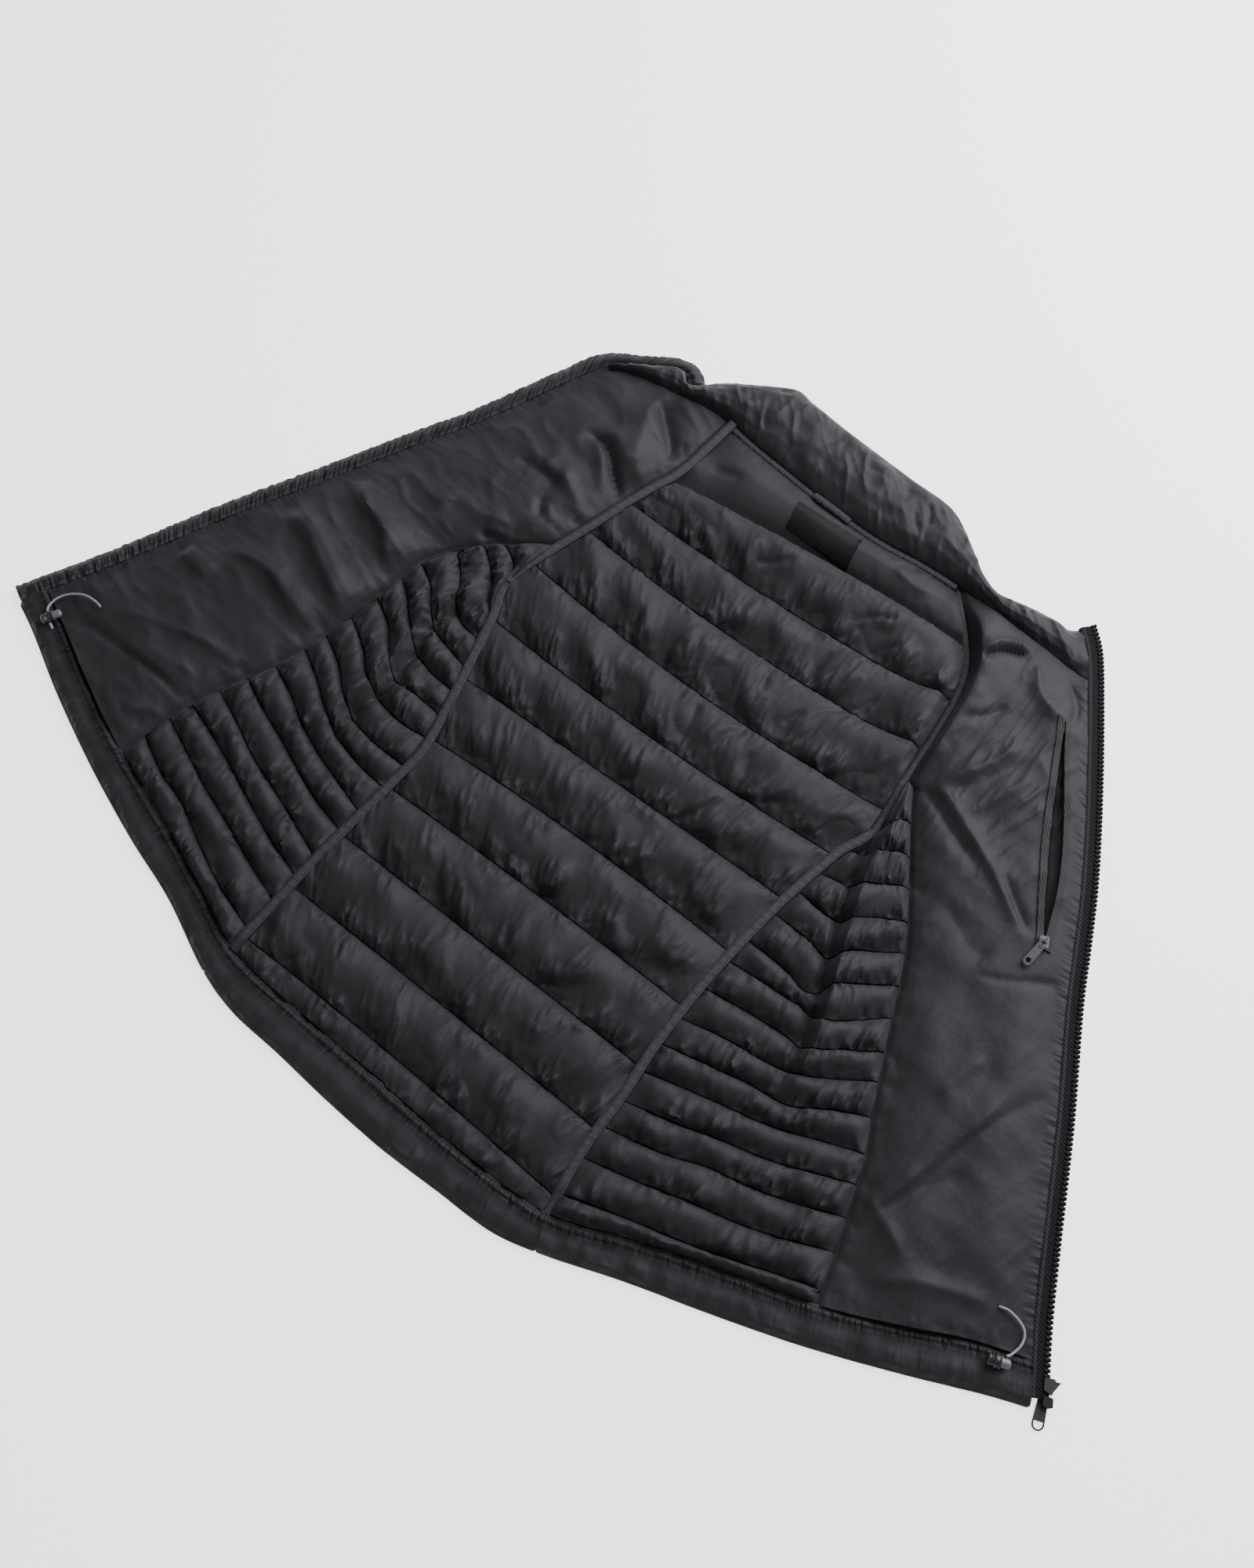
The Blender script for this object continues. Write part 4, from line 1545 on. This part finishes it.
def tooth_shape(tree, inputs):
    """A bead on a neck, with a clamp round the tape's cord behind it."""
    bead = add_node(tree, "GeometryNodeMeshUVSphere", {"Segments": 10, "Rings": 6,
                                                       "Radius": inputs["Bead"]})
    neck = add_node(tree, "GeometryNodeMeshCylinder", {"Vertices": 8, "Radius": inputs["Neck"],
                                                       "Depth": inputs["Reach"]})
    clamp = add_node(tree, "GeometryNodeMeshUVSphere", {"Segments": 10, "Rings": 6,
                                                        "Radius": inputs["Clamp"]})
    parts = add_node(tree, "GeometryNodeJoinGeometry")
    for piece, place, size, turn in ((bead, (0, -0.0014, 0), (1.0, 0.8, 1.35), 0.0),
                                     (neck, (0, 0.0002, 0), (1.0, 1.0, 1.0), math.pi / 2),
                                     (clamp, (0, 0.0013, 0), (0.72, 0.8, 1.35), 0.0)):
        put = add_node(tree, "GeometryNodeTransform",
                       {"Geometry": piece.outputs["Mesh"], "Translation": place,
                        "Rotation": (turn, 0.0, 0.0), "Scale": size})
        tree.links.new(put.outputs[0], parts.inputs[0])
    return parts.outputs[0]


# Moulded acetal resin: dark, semi-gloss, with a warm brown tint on the tips
teeth_resin = patterned("moulded_acetal_teeth", ("#0c0a0a", "#1e1210"), 260.0, Roughness=0.45,
                        Specular_IOR_Level=0.2)
chain = cut_path(TEETH, CHAIN_FOOT, TEETH[-1], 900)
middle = shifted(chain, CHAIN_WIDTH / 2)
path = np.column_stack([middle, np.full(len(middle), TEETH_LEVEL)])
mesh = evenly_along("moulded_zip_teeth", [path],
                    {"Pitch": TOOTH_PITCH / 1000, "Bead": 0.00150, "Neck": 0.0012,
                     "Reach": 0.0028, "Clamp": 0.0015}, tooth_shape, teeth_resin)
show(mesh, teeth_resin, ["zip_chain"])

# Zip hardware: die-cast sliders and pulls in a dark satin coat, the pocket's in silver grey.
# The box at the foot of the tape is the same moulded resin as the teeth.

# Satin coat on die-cast zinc: an even dark gloss, or silver grey with a soft metal glint. Both
# show fine brush marks, about 0.4 mm wide and 3 mm long.
dark_coat, tree, shader = start_material("satin_coated_zinc_dark", Roughness=0.42,
                                          Specular_IOR_Level=0.4)
silver_coat, silver_tree, silver_shader = start_material("satin_coated_zinc_silver",
                                                         Roughness=0.32, Metallic=0.9)
for one_tree, one_shader, colour in ((tree, shader, "#141312"),
                                     (silver_tree, silver_shader, "#3e3f42")):
    one_shader.inputs["Base Color"].default_value = (*linear(colour), 1.0)
    spot = add_node(one_tree, "ShaderNodeTexCoord")
    long = add_node(one_tree, "ShaderNodeMapping", {"Vector": spot.outputs["Object"],
                                                    "Scale": (300.0, 2500.0, 300.0)})
    brush = add_node(one_tree, "ShaderNodeTexNoise", {"Vector": long.outputs["Vector"],
                                                      "Scale": 1.0})
    bump = add_node(one_tree, "ShaderNodeBump", {"Height": brush.outputs["Fac"],
                                                 "Strength": 0.2, "Distance": 0.0002})
    one_tree.links.new(bump.outputs["Normal"], one_shader.inputs["Normal"])
for name, material in (("zip_slider", dark_coat), ("zip_pull", dark_coat),
                       ("zip_box", teeth_resin), ("pocket_slider", silver_coat),
                       ("pocket_pull", silver_coat)):
    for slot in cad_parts[name].material_slots:
        slot.material = material

# Thread: black polyester sewing thread, in lockstitches that sink into the cloth.
# A stitch is about 2.8 mm long; each one is a small rounded bar, a little proud of the seam.

# Spun polyester thread: dull black, its plies just uneven enough to break the light
thread = patterned("polyester_sewing_thread", ("#0b0b0d",), 1500.0, (0.4, 0.0002),
                   Roughness=0.7, Specular_IOR_Level=0.25)


def stitch_shape(tree, inputs):
    """One stitch: a small rounded bar, stretched to its length and width."""
    bar = add_node(tree, "GeometryNodeMeshUVSphere", {"Segments": 6, "Rings": 4, "Radius": 1.0})
    size = add_node(tree, "ShaderNodeCombineXYZ", {"X": inputs["Length"], "Y": inputs["Width"],
                                                   "Z": inputs["Width"]})
    return add_node(tree, "GeometryNodeTransform", {"Geometry": bar.outputs["Mesh"],
                                                    "Scale": size.outputs["Vector"]}).outputs[0]


for name, paths, pitch, lift in (("quilting_stitches", quilt_threads + side_threads, 3.0, 0.1),
                                 ("trim_stitches", hem_threads + strip_threads, 2.8, 0.15)):
    raised = [path + (0.0, 0.0, lift) for path in paths]
    mesh = evenly_along(name, raised, {"Pitch": pitch / 1000, "Length": 0.001,
                                       "Width": 0.00024}, stitch_shape, thread)
    show(mesh, thread, ())

# Studio: one pale seamless floor, a broad soft light from the collar side and a pale room.
# The key light stands beyond the collar, so the upper side of every baffle catches it.

FLOOR_GLOW = 2.1
ROOM_STRENGTH = 0.42
# Seamless paper: matt and very pale, with a glow that keeps the shadows on it soft
floor_finish, tree, shader = start_material("seamless_studio_paper", Roughness=0.85)
shader.inputs["Base Color"].default_value = (*linear("#c4c4c4"), 1.0)
shader.inputs["Emission Color"].default_value = (*linear("#f2f2f2"), 1.0)
shader.inputs["Emission Strength"].default_value = FLOOR_GLOW
floor_mesh = mesh_of("studio_floor", [(-4, -4, 0), (4, -4, 0), (4, 4, 0), (-4, 4, 0)],
                     [(0, 1, 2, 3)])
floor = bpy.data.objects.new("studio_floor", floor_mesh)
floor_mesh.materials.append(floor_finish)
bpy.context.scene.collection.objects.link(floor)

world = bpy.data.worlds.new("studio_room")
bpy.context.scene.world = world
world.use_nodes = True
background = world.node_tree.nodes["Background"]
background.inputs["Color"].default_value = (*linear("#f2f4f8"), 1.0)
background.inputs["Strength"].default_value = ROOM_STRENGTH


def soft_light(name, place, size, power):
    """A square soft box at a place, turned to the vest."""
    lamp = bpy.data.lights.new(name, "AREA")
    lamp.shape = "SQUARE"
    lamp.size = size
    lamp.energy = power
    holder = bpy.data.objects.new(name, lamp)
    holder.location = place
    holder.rotation_euler = (-Vector(place)).to_track_quat("-Z", "Y").to_euler()
    bpy.context.scene.collection.objects.link(holder)


soft_light("key_soft_box", (1.12, 0.72, 1.0), 1.7, 82.0)
soft_light("fill_soft_box", (-1.4, -0.6, 2.4), 2.0, 10.0)
